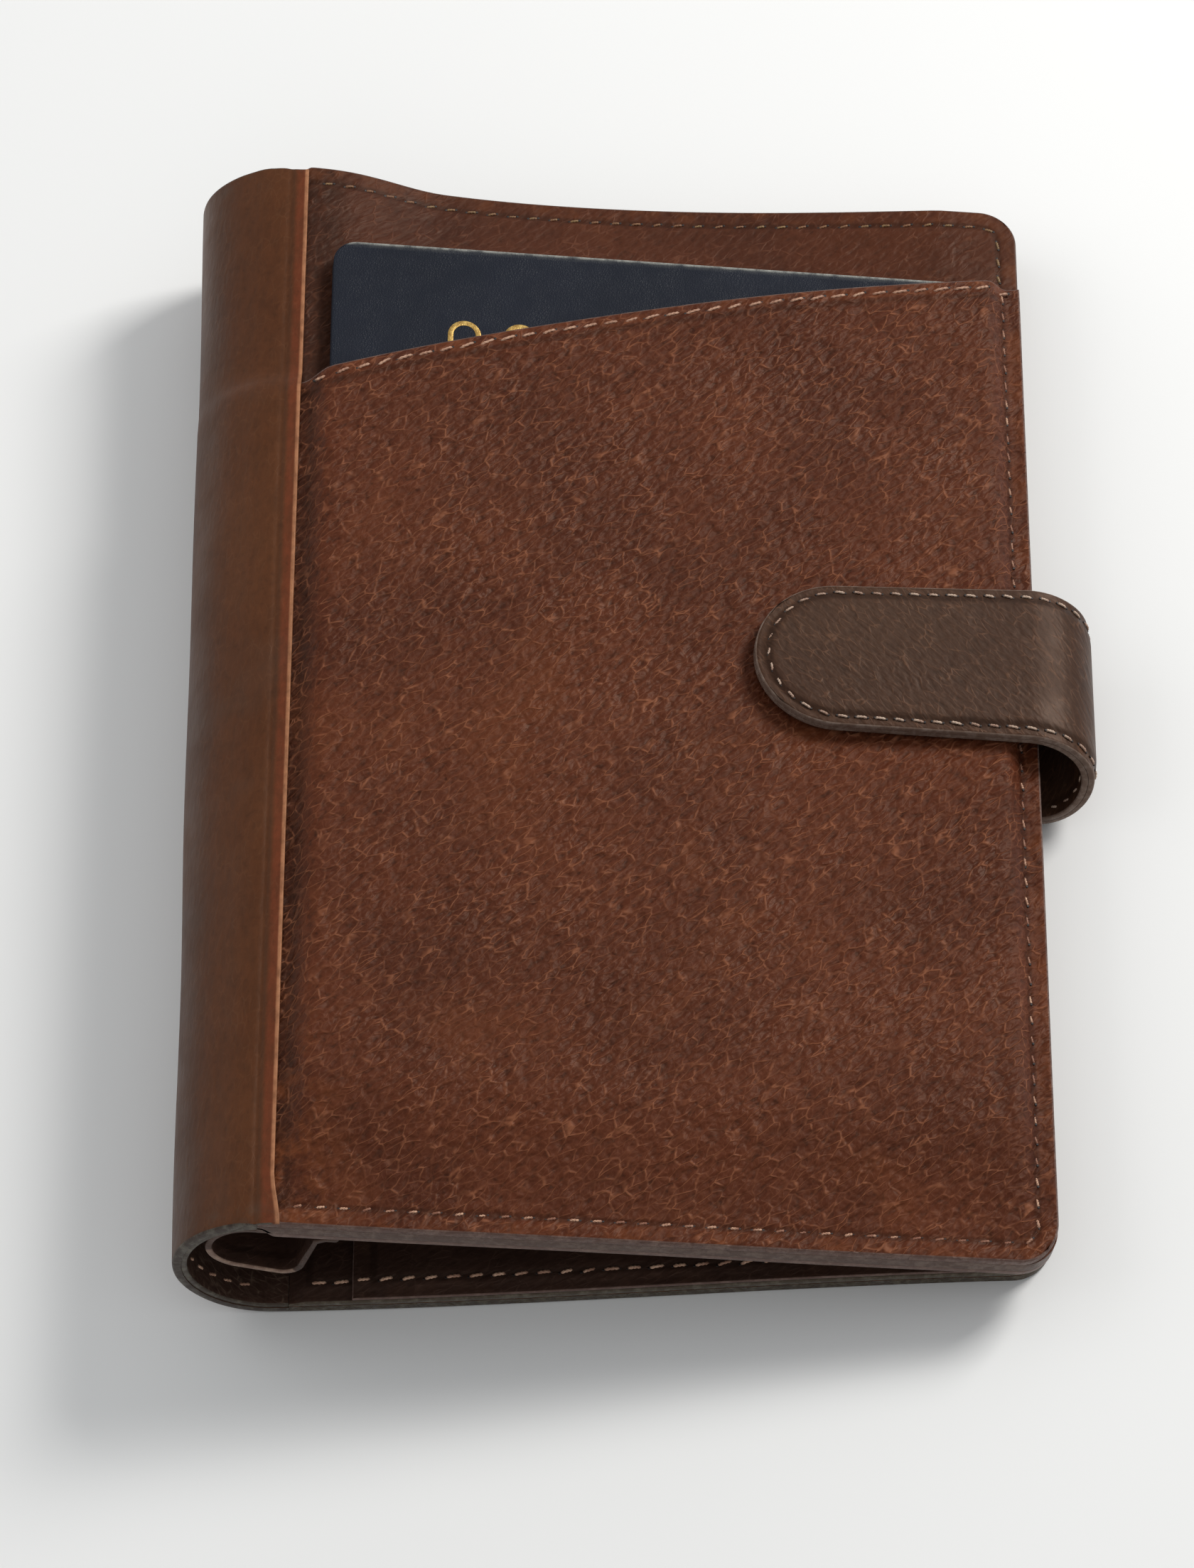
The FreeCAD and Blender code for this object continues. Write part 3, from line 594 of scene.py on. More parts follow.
def plain_material(name, one, two, roughness=0.6, metallic=0.0):
    """A quiet mottled finish for board and steel."""
    s = Shader(name)
    fleck = s.noise(s.rest(), 0.4, 4.0, 0.6)
    base = s.mix(s.span(fleck, 0.35, 0.65), colour(*one), colour(*two))
    return s.finish(Base_Color=base, Roughness=roughness, Metallic=metallic,
                    Normal=s.bump(fleck, 0.03))


def page_material():
    """Paper seen from its cut edges: fine lines, one for each leaf."""
    s = Shader("paper_leaves")
    stripes = s.patchy(s.turned(s.rest(), 0, (0.05, 0.05, 9.0)), (1.0,), 0.40, 0.60)
    base = s.mix(stripes, colour(150, 142, 126), colour(222, 216, 200))
    return s.finish(Base_Color=base, Roughness=0.8, Normal=s.bump(stripes, 0.04))


def gold_material():
    """Worn gold foil."""
    s = Shader("gold_foil")
    at = s.rest()
    base = s.mix(s.patchy(at, (1.6, 3.0, 0.65), 0.42, 0.6),
                 colour(168, 132, 70), colour(206, 172, 100))
    return s.finish(Base_Color=base, Roughness=0.38, Metallic=0.75,
                    Normal=s.bump(s.noise(at, 6.0), 0.03))


# ---------------------------------------------------------------- forms

def sag(u, v):
    """The front cover dips along its top edge, where no booklet stiffens it."""
    dip = np.sin(math.pi * np.clip(u / 86.0, 0, 1) ** 0.77) * smooth(u / 19.0)
    return -5.0 * dip * smooth((v - 50.0) / (HALF - 50.0))


def front_at(u, v, w):
    """The front cover's own frame, without its dip."""
    lifted = w + wobble(u, v, 5, 70.0, 0.25)
    return u * COS + lifted * SIN, v, COVER_TOP - u * SIN + lifted * COS


def front_form(u, v, w):
    """The front cover's layers. Their corner under the spine's lap is drawn down."""
    drawn = 0.9 * smooth((0.8 - u) / 2.0) * smooth((v - HALF + 8.0) / 8.0)
    return front_at(u, v - drawn, w + sag(u, v))


def back_form(u, v, z):
    """The back cover's layers: its lower edge rises a little towards the fore edge."""
    slant = 2.4 * smooth(u / BACK_LENGTH) * np.clip((HALF - v) / (2 * HALF), 0, 1)
    return u, v + slant, z


def book_form(u, v, w):
    """The rigid booklet."""
    return u * COS + w * SIN, v, COVER_TOP - u * SIN + w * COS


def mouth(u):
    """The pocket mouth's curve."""
    span = FRONT_LENGTH
    rise = MOUTH_RIGHT - MOUTH_LEFT
    chord = math.hypot(span, rise)
    t = np.clip(u / span, 0, 1)
    bow = MOUTH_RADIUS - math.sqrt(MOUTH_RADIUS ** 2 - (chord / 2) ** 2)
    return MOUTH_LEFT + rise * t + 4 * bow * t * (1 - t) * (chord / span)


SPINE_ROUND = SPINE_HIGH[2] / 2
SPINE_MIDDLE = -(SPINE_REACH - SPINE_HIGH[2] / 2)
SPINE_LENGTH, spine_path = path([
    [(-0.05, 0.0)],
    arc(SPINE_MIDDLE, SPINE_ROUND, SPINE_ROUND, 270, 90, 60),
    [(0.25, 2 * SPINE_ROUND + 0.13)],
])
SPINE_START, SPINE_END = 13.4, 15.2


def spine_form(u, v, w):
    """The round spine. It is fuller at the top and laps over the pocket's edge."""
    x, z = spine_path(u, w)
    reach = SPINE_START + (SPINE_END - SPINE_START) * (v + HALF) / (2 * HALF)
    reach = reach + wobble(u * 0, v, 9, 60.0, 0.35)
    stretch = (reach + SPINE_MIDDLE) / SPINE_ROUND
    x = np.where(x < SPINE_MIDDLE, SPINE_MIDDLE + (x - SPINE_MIDDLE) * stretch, x)
    rise = 1.35 * (1 - smooth((v - MOUTH_LEFT + 1.5) / 4.0)) * smooth((v + HALF) / 12.0 + 0.55)
    z = z * (1 + rise / (2 * SPINE_ROUND))
    corner = smooth((u - SPINE_LENGTH + 6.0) / 6.0) * smooth((v - HALF + 8.0) / 8.0)
    v = v - 0.8 * corner
    flare = 0.8 * (1 - smooth((v + HALF) / 7.0)) * smooth((u - SPINE_LENGTH + 2.4) / 2.4)
    return x + flare, v, z


# The strap leaves the back cover, bends round on one radius, and falls more gently from the tab.
# TURN is the angle at which its second, oval bend meets the tab, which lies along the cover.
ROOT_X = BACK_LENGTH - 14.0
BEND_Z = LEATHER + STRAP_BEND
BEND_HALF = 10.5
BEND_CORE = STRAP_BEND_X + STRAP_BEND - BEND_HALF
TAB_HEIGHT = 6.3
STRAP_LEG = 35.8
TAB_ABOVE = TAB_HEIGHT - BEND_CORE * SIN - (BEND_Z - COVER_TOP) * COS
BEND_RISE = math.sqrt(TAB_ABOVE ** 2 - (BEND_HALF * SIN) ** 2) / COS
TURN = math.atan2(COS * BEND_RISE, SIN * BEND_HALF)
bend_angles = np.linspace(0, TURN, 30)
bend_points = np.stack([BEND_CORE + BEND_HALF * np.cos(bend_angles),
                        BEND_Z + BEND_RISE * np.sin(bend_angles)], 1)
STRAP_LENGTH, strap_path = path([
    [(ROOT_X, LEATHER)],
    arc(STRAP_BEND_X, BEND_Z, STRAP_BEND, -90, 0, 24),
    bend_points,
    [bend_points[-1] + STRAP_LEG * np.array([-COS, SIN])],
], side=-1)
STRAP_HALF = 10.6
STRAP_ROOT_Y, STRAP_TIP_Y, STRAP_SWING = -0.7, 3.8, 0.7
BEND_START = STRAP_BEND_X - ROOT_X
BEND_LENGTH = STRAP_LENGTH - BEND_START - STRAP_LEG


def strap_form(u, v, w):
    """The strap: wider at its root, and drawn a little towards the top edge as it wraps over."""
    x, z = strap_path(u, w)
    wrap = smooth((u - BEND_START) / BEND_LENGTH)
    tab = np.clip((u - BEND_START - BEND_LENGTH) / STRAP_LEG, 0, 1)
    middle = STRAP_ROOT_Y + (STRAP_TIP_Y - STRAP_ROOT_Y) * wrap - STRAP_SWING * tab
    widen = 1.16 - 0.11 * np.clip(u / (STRAP_LENGTH - STRAP_LEG), 0, 1) - 0.09 * tab
    return x, middle + v * widen, z


# The pen loop hangs a little to one side, and has one tight corner.
LOOP_STRIP, LOOP_RADIUS, LOOP_FLAT, LOOP_FOLD = 0.9, 4.5, 1.25, 1.8
LOOP_TILT = math.radians(-14.0)
LOOP_TOP = LINING_FACE - LOOP_STRIP
loop_side = LOOP_FLAT + LOOP_RADIUS
loop_ring = np.concatenate([
    arc(-LOOP_FLAT, 0.0, LOOP_RADIUS, 100, 270, 30),
    arc(loop_side - LOOP_FOLD, LOOP_FOLD - LOOP_RADIUS, LOOP_FOLD, 270, 372, 14),
]) @ np.array([[math.cos(LOOP_TILT), math.sin(LOOP_TILT)],
               [-math.sin(LOOP_TILT), math.cos(LOOP_TILT)]]) + (-1.05, LOOP_TOP - 4.2)
loop_start = [(8.2, LOOP_TOP + LOOP_STRIP), (2.0, LOOP_TOP + LOOP_STRIP)]
LOOP_SIDE = path([loop_start, loop_ring[:18]])[0]
LOOP_WALL = path([loop_start, loop_ring])[0] - 1.2
LOOP_LENGTH, loop_path = path([loop_start, loop_ring, [(5.4, LOOP_TOP - 0.9), (6.6, LOOP_TOP - 0.1),
                                                       (8.6, LOOP_TOP - 0.05)]])


# ---------------------------------------------------------------- finishes

# The bands of the spine's lap, as (distance from the spine's start, half width), colour, strength.
LAP_BANDS = (
    ((SPINE_LENGTH - 5.5, 8.5), (104, 58, 32), 0.35),
    ((SPINE_LENGTH - 0.8, 1.1), (120, 56, 34), 0.55),
    # The thin dark line in the lap's crease is painted shade.
    ((SPINE_LENGTH - 2.1, 0.4), (46, 25, 17), 0.15),
    # The light line at the lap's raw edge is partly its tan colour and partly a painted highlight.
    ((SPINE_LENGTH - 0.1, 0.48), (184, 128, 92), 0.8),
)
# The dark bands near the seam, on the pocket and on the front cover, are painted shade beside the
# spine's lap.
COVER_LEATHER = leather(
    "cover_leather", (68, 30, 16), (84, 40, 22), (160, 102, 72), (110, 58, 30),
    paint=(92, 72, 66), fleck=(112, 92, 84), across=[((0.4, 2.4), (38, 19, 12), 0.75)])
FRONT_LEATHER = leather(
    "front_leather", (60, 28, 16), (74, 36, 20), (124, 78, 56), (96, 52, 28), seed=23.0,
    relief=0.12, crease=0.6, paint=(84, 68, 62), fleck=(104, 88, 80),
    across=[((0.4, 7.0), (34, 17, 11), 0.75)])
BACK_LEATHER = leather(
    "back_leather", (72, 32, 17), (88, 42, 23), (160, 102, 72), (110, 58, 30), seed=59.0,
    paint=(66, 58, 50), fleck=(92, 86, 74))
SPINE_LEATHER = leather(
    "spine_leather", (64, 37, 22), (78, 47, 28), (118, 80, 54), (78, 62, 52), grain=0.8, angle=82,
    relief=0.025, crease=0.3, rough=(0.40, 0.52), seed=37.0, paint=(58, 50, 46),
    fleck=(88, 84, 76), across=LAP_BANDS, painted=(-1.0, SPINE_LENGTH - 0.5))
STRAP_LEATHER = leather(
    "strap_leather", (52, 33, 24), (60, 40, 29), (122, 86, 64), (74, 49, 35), grain=0.8, angle=46,
    relief=0.035, crease=0.75, rough=(0.38, 0.5), seed=71.0, wear=0.3, paint=(98, 80, 70),
    fleck=(120, 104, 94), polish=0.2)


def inner_leather(name, seed, paint=(92, 72, 66), fleck=(112, 92, 84), light=(100, 76, 64),
                  crease=0.6, painted=None):
    """The dark leather of the linings, slots and pen loop."""
    return leather(name, (52, 35, 29), (66, 46, 38), light, (80, 54, 42), grain=0.8, angle=25,
                   relief=0.05, crease=crease, rough=(0.40, 0.54), seed=seed, wear=0.3,
                   paint=paint, fleck=fleck, gloss=0.3, painted=painted)


INNER_LEATHER = inner_leather("inner_leather", 113.0)
BACK_LINING = inner_leather("back_inner_leather", 127.0, (70, 62, 52), (98, 92, 80))
SPINE_LINING = inner_leather("spine_inner_leather", 151.0, (62, 56, 50), (92, 88, 78),
                             (132, 112, 94), 0.8)
# The loop's cut edge is coated only from LOOP_SIDE to LOOP_WALL; the wall's edge beyond keeps the
# dark base colour as painted shade.
LOOP_LEATHER = inner_leather("loop_leather", 173.0, (116, 92, 80), (144, 120, 104),
                             painted=(LOOP_SIDE, LOOP_WALL))
THREAD_PINK = thread_material("waxed_thread", (220, 182, 154), (170, 128, 104))
THREAD_EDGE = thread_material("edge_thread", (212, 172, 142), (150, 104, 82), 0.85)
THREAD_MOUTH = thread_material("mouth_thread", (200, 160, 134), (150, 110, 88), 0.35)
THREAD_STRAP = thread_material("strap_thread", (206, 182, 162), (160, 134, 114), 0.5)
THREAD_OLIVE = thread_material("olive_thread", (146, 116, 76), (104, 78, 50))
POCKET_CLOTH = cloth_material("pocket_cloth", (46, 36, 34), (34, 27, 26))
BOOK_CLOTH = cloth_material("booklet_cloth", (27, 31, 42), (23, 27, 37), 3.0, 0.03,
                            (168, 168, 160))
BOARD_MATERIAL = plain_material("fibre_board", (120, 108, 92), (96, 86, 74))
STEEL_MATERIAL = plain_material("plated_steel", (150, 150, 152), (130, 130, 134), 0.35, 1.0)
PAGE_MATERIAL = page_material()
GOLD_MATERIAL = gold_material()


# ---------------------------------------------------------------- the front cover

UNDER_LAP = -1.7


def pinch(distance):
    """1 at a sewn edge, where the layers are pressed together, and 0 inside it."""
    return 1 - smooth((distance - 0.6) / 2.6)


def groove(distance, depth=0.16):
    """The line that a row of stitches presses into leather."""
    return depth * bell(distance, STITCH_INSET, 0.42)


def front_rim(u, v):
    return sheet_rim(u, v, -9.0, FRONT_LENGTH)


def front_pinch(u, v):
    return pinch(front_rim(u, v))


def under_lap(u):
    """How far a layer that reaches under the spine's lap is thinned there."""
    return 0.4 * smooth((0.6 - u) / 2.0)


def board_grid(start, end):
    """A stiffening board, inside its leather's edges."""
    return plan(np.linspace(start + BOARD_INSET, end - BOARD_INSET, 30),
                np.linspace(-HALF + BOARD_INSET, HALF - BOARD_INSET, 44),
                {corner: CORNER - BOARD_INSET for corner in FORE_CORNERS})


def build_front():
    """The front cover's leather, board and lining."""
    grid = plan(lines(UNDER_LAP, FRONT_LENGTH, 1.3), lines(-HALF, HALF, 1.3), FORE_CORNERS)

    def cover_top(u, v):
        bare = v > mouth(u) - 1.0
        return -groove(front_rim(u, v)) - np.where(bare, under_lap(u) + 0.12 * front_pinch(u, v), 0)

    def cover_edge(u, v):
        return np.where(v > mouth(u) - 0.5, 0.3, 0.04)

    def lining_low(u, v):
        pressed = 0.1 * front_pinch(u, v) + groove(front_rim(u, v), 0.1)
        return LINING_FACE + pressed + 4.2 * under_lap(u)

    cover = layer("front_cover_leather", grid, cover_top,
                  lambda u, v: -LEATHER - 0.5 * front_pinch(u, v),
                  front_form, FRONT_LEATHER, (cover_edge, 0.04), front_rim)
    board = layer("front_stiffener", board_grid(SEAM_GAP, FRONT_LENGTH),
                  lambda u, v: -LEATHER - 0.02 - 0.5 * front_pinch(u, v),
                  lambda u, v: -LEATHER - BOARD + 0.02 + 0.4 * front_pinch(u, v),
                  front_form, BOARD_MATERIAL, 0.1)
    lining = layer(
        "front_inner_leather", grid,
        lambda u, v: -LEATHER - BOARD + 0.48 * front_pinch(u, v) + 3.3 * under_lap(u),
        lining_low, front_form, INNER_LEATHER, (0.04, 0.25), front_rim)
    for piece, node, slot in ((cover, "front_cover", "cover_leather"),
                              (board, "front_board", "board"),
                              (lining, "front_lining", "lining_leather")):
        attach(piece, "front_cover")
        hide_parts(node)


def pocket_rim(u, v):
    """Distance from the pocket's sewn edges."""
    return sheet_rim(u, v, SEAM_GAP - 6, FRONT_LENGTH, HALF + 40)


def mouth_gap(u, v):
    """Distance below the pocket mouth, which slopes a little."""
    return (mouth(u) - v) * 0.97


def pocket_all_rim(u, v):
    return np.minimum(pocket_rim(u, v), mouth_gap(u, v))


def pocket_height(u, v):
    """The outside pocket: flat where it is sewn down, raised over the booklet."""
    left = 0.10 + 0.90 * smooth((u - 0.4) / 3.5)
    right = smooth((FRONT_LENGTH - 1.4 - u) / 3.6)
    low = smooth((v + HALF - 1.4) / 18.5)
    rise = POCKET_RISE + wobble(u, v, 21, 34.0, 0.22)
    return POCKET_SEWN + 0.2 * pinch(pocket_rim(u, v)) + rise * left * right * low


def pocket_wear(u, v):
    """Rubbed at its edges, and most of all at its lower corner beside the spine."""
    corner = smooth(1 - u / 13.0) * smooth((-v - 38.0) / 34.0)
    return np.maximum(0.8 * (1 - smooth(pocket_all_rim(u, v) / 4.5)), 1.3 * corner)


def pocket_top(u, v):
    gap = mouth_gap(u, v)
    tuck = 0.10 * bell(gap, MOUTH_INSET, 0.4) + 0.22 * (1 - smooth(gap / 1.2))
    return pocket_height(u, v) - groove(pocket_rim(u, v)) - tuck - under_lap(u)


def pocket_low(u, v):
    thickness = POCKET_LEATHER + 0.3 * pinch(pocket_rim(u, v))
    return np.maximum(pocket_height(u, v) - thickness, 0.02)


def pocket_grid():
    """A grid whose upper edge follows the pocket mouth."""
    u, v = plan(lines(UNDER_LAP, FRONT_LENGTH, 0.95), lines(-HALF, MOUTH_LEFT, 0.95),
                {(1, 0): CORNER})
    return u, v + (mouth(u) - MOUTH_LEFT) * (v + HALF) / (MOUTH_LEFT + HALF)


def build_pocket():
    """The outside pocket's leather and its cloth lining. The steel plate stays as it is."""
    pocket = layer("pocket_leather", pocket_grid(), pocket_top, pocket_low, front_at,
                   COVER_LEATHER, (0.34, 0.05), pocket_all_rim, pocket_wear)
    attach(pocket, "front_cover")
    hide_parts("passport_pocket")
    top_line = node_box("pocket_lining")[1][1] - 1
    grid = plan(np.linspace(5.0, FRONT_LENGTH - 5.4, 40), np.linspace(-HALF + 20, top_line, 50))
    cloth = layer("pocket_cloth_lining", grid,
                  lambda u, v: pocket_height(u, v) - POCKET_LEATHER - 0.04,
                  lambda u, v: pocket_height(u, v) - POCKET_LEATHER - 0.19,
                  front_at, POCKET_CLOTH, 0.05)
    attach(cloth, "front_cover")
    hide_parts("pocket_lining")


def hem(start, length, side=1):
    """A line of stitches along a level edge, from start, and round its fore corner.

    side is -1 for the bottom edge and 1 for the top.
    """
    corner = arc(length - CORNER, side * (HALF - CORNER), CORNER - STITCH_INSET, 90 * side, 0, 8)
    return np.concatenate([[(start, side * (HALF - STITCH_INSET))], corner])


def full_hem(start, length):
    """A line of stitches along the bottom, fore and top edges."""
    return np.concatenate([hem(start, length, -1), hem(start, length)[::-1]])


def build_front_stitches():
    """Stitching on the front cover."""
    fore = FRONT_LENGTH - STITCH_INSET
    mouth_v = float(mouth(FRONT_LENGTH))
    low_line = np.concatenate([hem(1.6, FRONT_LENGTH, -1), [(fore, mouth_v - 1.0)]])
    high_line = np.concatenate([hem(1.6, FRONT_LENGTH), [(fore, mouth_v + 0.6)]])
    us = np.linspace(1.4, FRONT_LENGTH - 1.4, 60)
    mouth_line = np.stack([us, mouth(us) - 1.45], 1)
    edge_thread, mouth_thread = ((1.5, 0.17), 0.08), ((2.4, 0.18), 0.0)
    rows = (
        ("pocket_edge_stitches", low_line, pocket_top, front_at, THREAD_EDGE, 3, edge_thread,
         "pocket_edge_thread", "thread"),
        ("cover_edge_stitches", high_line, lambda u, v: -0.12 * front_pinch(u, v) - 0.12,
         front_form, THREAD_OLIVE, 4, edge_thread, "cover_edge_thread", "olive_thread"),
        ("pocket_mouth_stitches", mouth_line, pocket_top, front_at, THREAD_MOUTH, 5, mouth_thread,
         "pocket_mouth_thread", "thread"),
    )
    for name, line, height, form, material, seed, (size, sunk), node, slot in rows:
        piece = stitches(name, along(line, STITCH_PITCH), height, form, material, seed, size, sunk,
                         slant=0.2)
        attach(piece, "front_cover")
        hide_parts(node)

    def inner_height(u, v):
        return LINING_FACE - (0.4 if v < 19 and u > 12 else 0.0) + 0.2

    inner = stitches("front_inner_stitches", along(full_hem(1.6, FRONT_LENGTH), STITCH_PITCH),
                     inner_height, front_form, THREAD_PINK, 6, face=-1.0)
    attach(inner, "front_cover")


def build_card_slot(number):
    """One of the stepped card slots on the front cover's inner face."""
    node = f"card_slot_{number}"
    top_line = node_box(node)[1][1]
    start, thick = 9.4, 0.4
    face = LINING_FACE - (number - 1) * thick
    grid = plan(lines(start, FRONT_LENGTH - 0.5, 1.8, False), lines(-HALF + 0.5, top_line, 1.8),
                {(1, 0): CORNER})

    def rim(u, v):
        return np.minimum(sheet_rim(u, v, start, FRONT_LENGTH, OPEN), top_line - v)

    def high(u, v):
        return face - 0.01 + 0.4 * pinch(sheet_rim(u, v, SEAM_GAP, FRONT_LENGTH, OPEN))

    piece = layer(f"card_slot_panel_{number}", grid, high,
                  lambda u, v: high(u, v) - thick + 0.02 + 0.12 * bell(rim(u, v), 1.5, 0.4),
                  front_form, INNER_LEATHER, 0.12, rim)
    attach(piece, "front_cover")
    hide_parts(node)


# ---------------------------------------------------------------- the back cover

def back_rim(u, v):
    return sheet_rim(u, v, 0.0, BACK_LENGTH)


def back_pinch(u, v):
    """How far the back cover's layers are pressed together. The strap parts them at its root."""
    across = 1 - smooth((np.abs(v - STRAP_ROOT_Y) - STRAP_HALF - 1.2) / 2.0)
    parted = across * smooth((u - (ROOT_X - 4)) / 3.0)
    return pinch(back_rim(u, v)) * (1 - parted)


def build_back():
    """The back cover's leather, board, lining and document pocket."""
    grid = plan(lines(0.0, BACK_LENGTH, 1.3), lines(-HALF, HALF, 1.3), FORE_CORNERS)
    panel_u = PANEL_LOW[0] - SEAM
    panel_grid = plan(lines(panel_u, BACK_LENGTH - 0.1, 1.8),
                      lines(-HALF + 0.1, PANEL_HIGH[1], 1.8), {(1, 0): CORNER})

    def panel_rim(u, v):
        sewn = sheet_rim(u, v, panel_u, BACK_LENGTH, OPEN)
        return np.minimum(sewn, PANEL_HIGH[1] - v)

    def lining_high(u, v):
        pressed = 0.45 * back_pinch(u, v) + groove(back_rim(u, v), 0.1)
        return LINING_HIGH[2] - pressed - 0.52 * (1 - smooth(u / 2.6))

    cover = layer("back_cover_leather", grid,
                  lambda u, v: LEATHER - 0.03 + 0.35 * back_pinch(u, v),
                  lambda u, v: 0.5 * bell(back_rim(u, v), STITCH_INSET, 0.6),
                  back_form, BACK_LEATHER, (0.03, 0.32), back_rim, butt=0.0)
    lining = layer("back_inner_leather", grid, lining_high,
                   lambda u, v: LINING_LOW[2] - 0.75 * back_pinch(u, v),
                   back_form, BACK_LINING, (0.25, 0.05), back_rim, butt=0.0)
    panel = layer(
        "document_pocket_panel", panel_grid,
        lambda u, v: PANEL_HIGH[2] - 0.45 * back_pinch(u, v) - groove(panel_rim(u, v), 0.12),
        lambda u, v: PANEL_LOW[2] + 0.02 - 0.42 * back_pinch(u, v),
        back_form, INNER_LEATHER, 0.18, panel_rim)
    board = layer("back_stiffener", board_grid(0.0, BACK_LENGTH),
                  lambda u, v: LINING_LOW[2] - 0.02 - 0.75 * back_pinch(u, v),
                  lambda u, v: LEATHER + 0.02 + 0.35 * back_pinch(u, v),
                  back_form, BOARD_MATERIAL, 0.08)
    for piece, node, slot in ((cover, "back_cover", "cover_leather"),
                              (board, "back_board", "board"),
                              (lining, "back_lining", "lining_leather"),
                              (panel, "document_pocket", "lining_leather")):
        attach(piece, "back")
        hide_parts(node)


def build_back_stitches():
    """One row of stitches through the back cover, seen from inside and from below."""
    marks = along(full_hem(2.4, BACK_LENGTH), STITCH_PITCH)

    def inner_height(u, v):
        on_panel = u > PANEL_LOW[0] - SEAM and v < PANEL_HIGH[1]
        return (PANEL_HIGH[2] if on_panel else LINING_HIGH[2]) - 0.2

    inner = stitches("back_inner_stitches", marks, inner_height, back_form, THREAD_PINK, 8)
    outer = stitches("back_outer_stitches", marks, 0.52, back_form, THREAD_PINK, 9, face=-1.0)
    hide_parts("back_edge_thread")
    for piece in (inner, outer):
        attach(piece, "back")


# ---------------------------------------------------------------- the spine

def build_spine():
    """The spine's leather and lining."""
    crease_at = SPINE_LENGTH - 3.0
    us = np.concatenate([
        [0.0], np.linspace(0.6, crease_at - 1.2, 50),
        np.linspace(crease_at - 0.9, SPINE_LENGTH - 0.45, 14), [SPINE_LENGTH]])

    def outer(u, v):
        folds = 0.16 * bell(u, SPINE_LENGTH - 2.3, 0.4) + 0.07 * bell(u, crease_at - 4.5, 1.0)
        return wobble(u, v * 0.35, 31, 14.0, 0.10) * smooth(u / 4.0) - folds

    def inner(u, v):
        return -LEATHER + 0.86 * smooth((u - SPINE_LENGTH + 5.6) / 2.6)

    def rim(u, v):
        return HALF - np.abs(v) + 4.0

    def wear(u, v):
        return 1 - smooth((HALF - np.abs(v)) / 4.5)

    cover = layer("spine_leather_wrap", plan(us, lines(-HALF, HALF, 1.6)), outer, inner,
                  spine_form, SPINE_LEATHER, (0.32, 0.03), rim, wear, butt=0.0)
    lining_grid = plan(np.linspace(0.0, SPINE_LENGTH - 0.9, 62),
                       lines(-HALF + 0.1, HALF - 0.1, 2.2))
    lining = layer("spine_inner_leather", lining_grid, lambda u, v: inner(u, v) - 0.01,
                   -LEATHER - 0.8, spine_form, SPINE_LINING, (0.03, 0.25), rim, butt=0.0)
    us = np.linspace(5.0, SPINE_LENGTH - 5.0, 30)
    rows = [along(np.stack([us, np.full(30, v)], 1), STITCH_PITCH)
            for v in (-HALF + STITCH_INSET, HALF - STITCH_INSET)]
    row = stitches("spine_inner_stitches", np.concatenate(rows), -LEATHER - 0.68, spine_form,
                   THREAD_PINK, 12, face=-1.0)
    for piece, slot in ((cover, "spine_leather"), (lining, "lining_leather"), (row, "thread")):
        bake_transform(piece)
    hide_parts("spine_cover")
    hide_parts("spine_lining")


def build_pen_loop():
    """A pen loop: one strip folded into a ring, its ends sewn under the front lining."""
    low, high = node_box("pen_loop")
    grid = plan(np.linspace(0, LOOP_LENGTH, 110), lines(low[1], high[1], 1.6),
                {corner: 0.6 for corner in ALL_CORNERS})

    def loop_form(u, v, w):
        a, b = loop_path(u, w)
        return front_at(a, v, b)

    ring = layer("pen_loop_strip", grid, -0.02, -LOOP_STRIP, loop_form, LOOP_LEATHER, 0.22,
                 lambda u, v: np.minimum(v - low[1], high[1] - v) + 0.6)
    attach(ring, "front_cover")
    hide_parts("pen_loop")


# ---------------------------------------------------------------- the strap

STRAP_TIP = {(1, 0): STRAP_HALF, (1, 1): STRAP_HALF}


def strap_rim(u, v):
    return rim_distance(u, v, (-40.0, STRAP_LENGTH, -STRAP_HALF, STRAP_HALF), STRAP_HALF)


def strap_press(u, v):
    """1 at the strap's sewn edge, and 0 inside it."""
    return 1 - smooth((strap_rim(u, v) - 0.3) / 2.4)


def strap_row(start):
    """A line of stitches along the strap's edge and round its tip."""
    reach = STRAP_HALF - STRAP_INSET
    tip = arc(STRAP_LENGTH - STRAP_HALF - 0.6, 0.0, reach, -90, 90, 24)
    return along(np.concatenate([[(start, -reach)], tip, [(start, reach)]]), STRAP_PITCH)


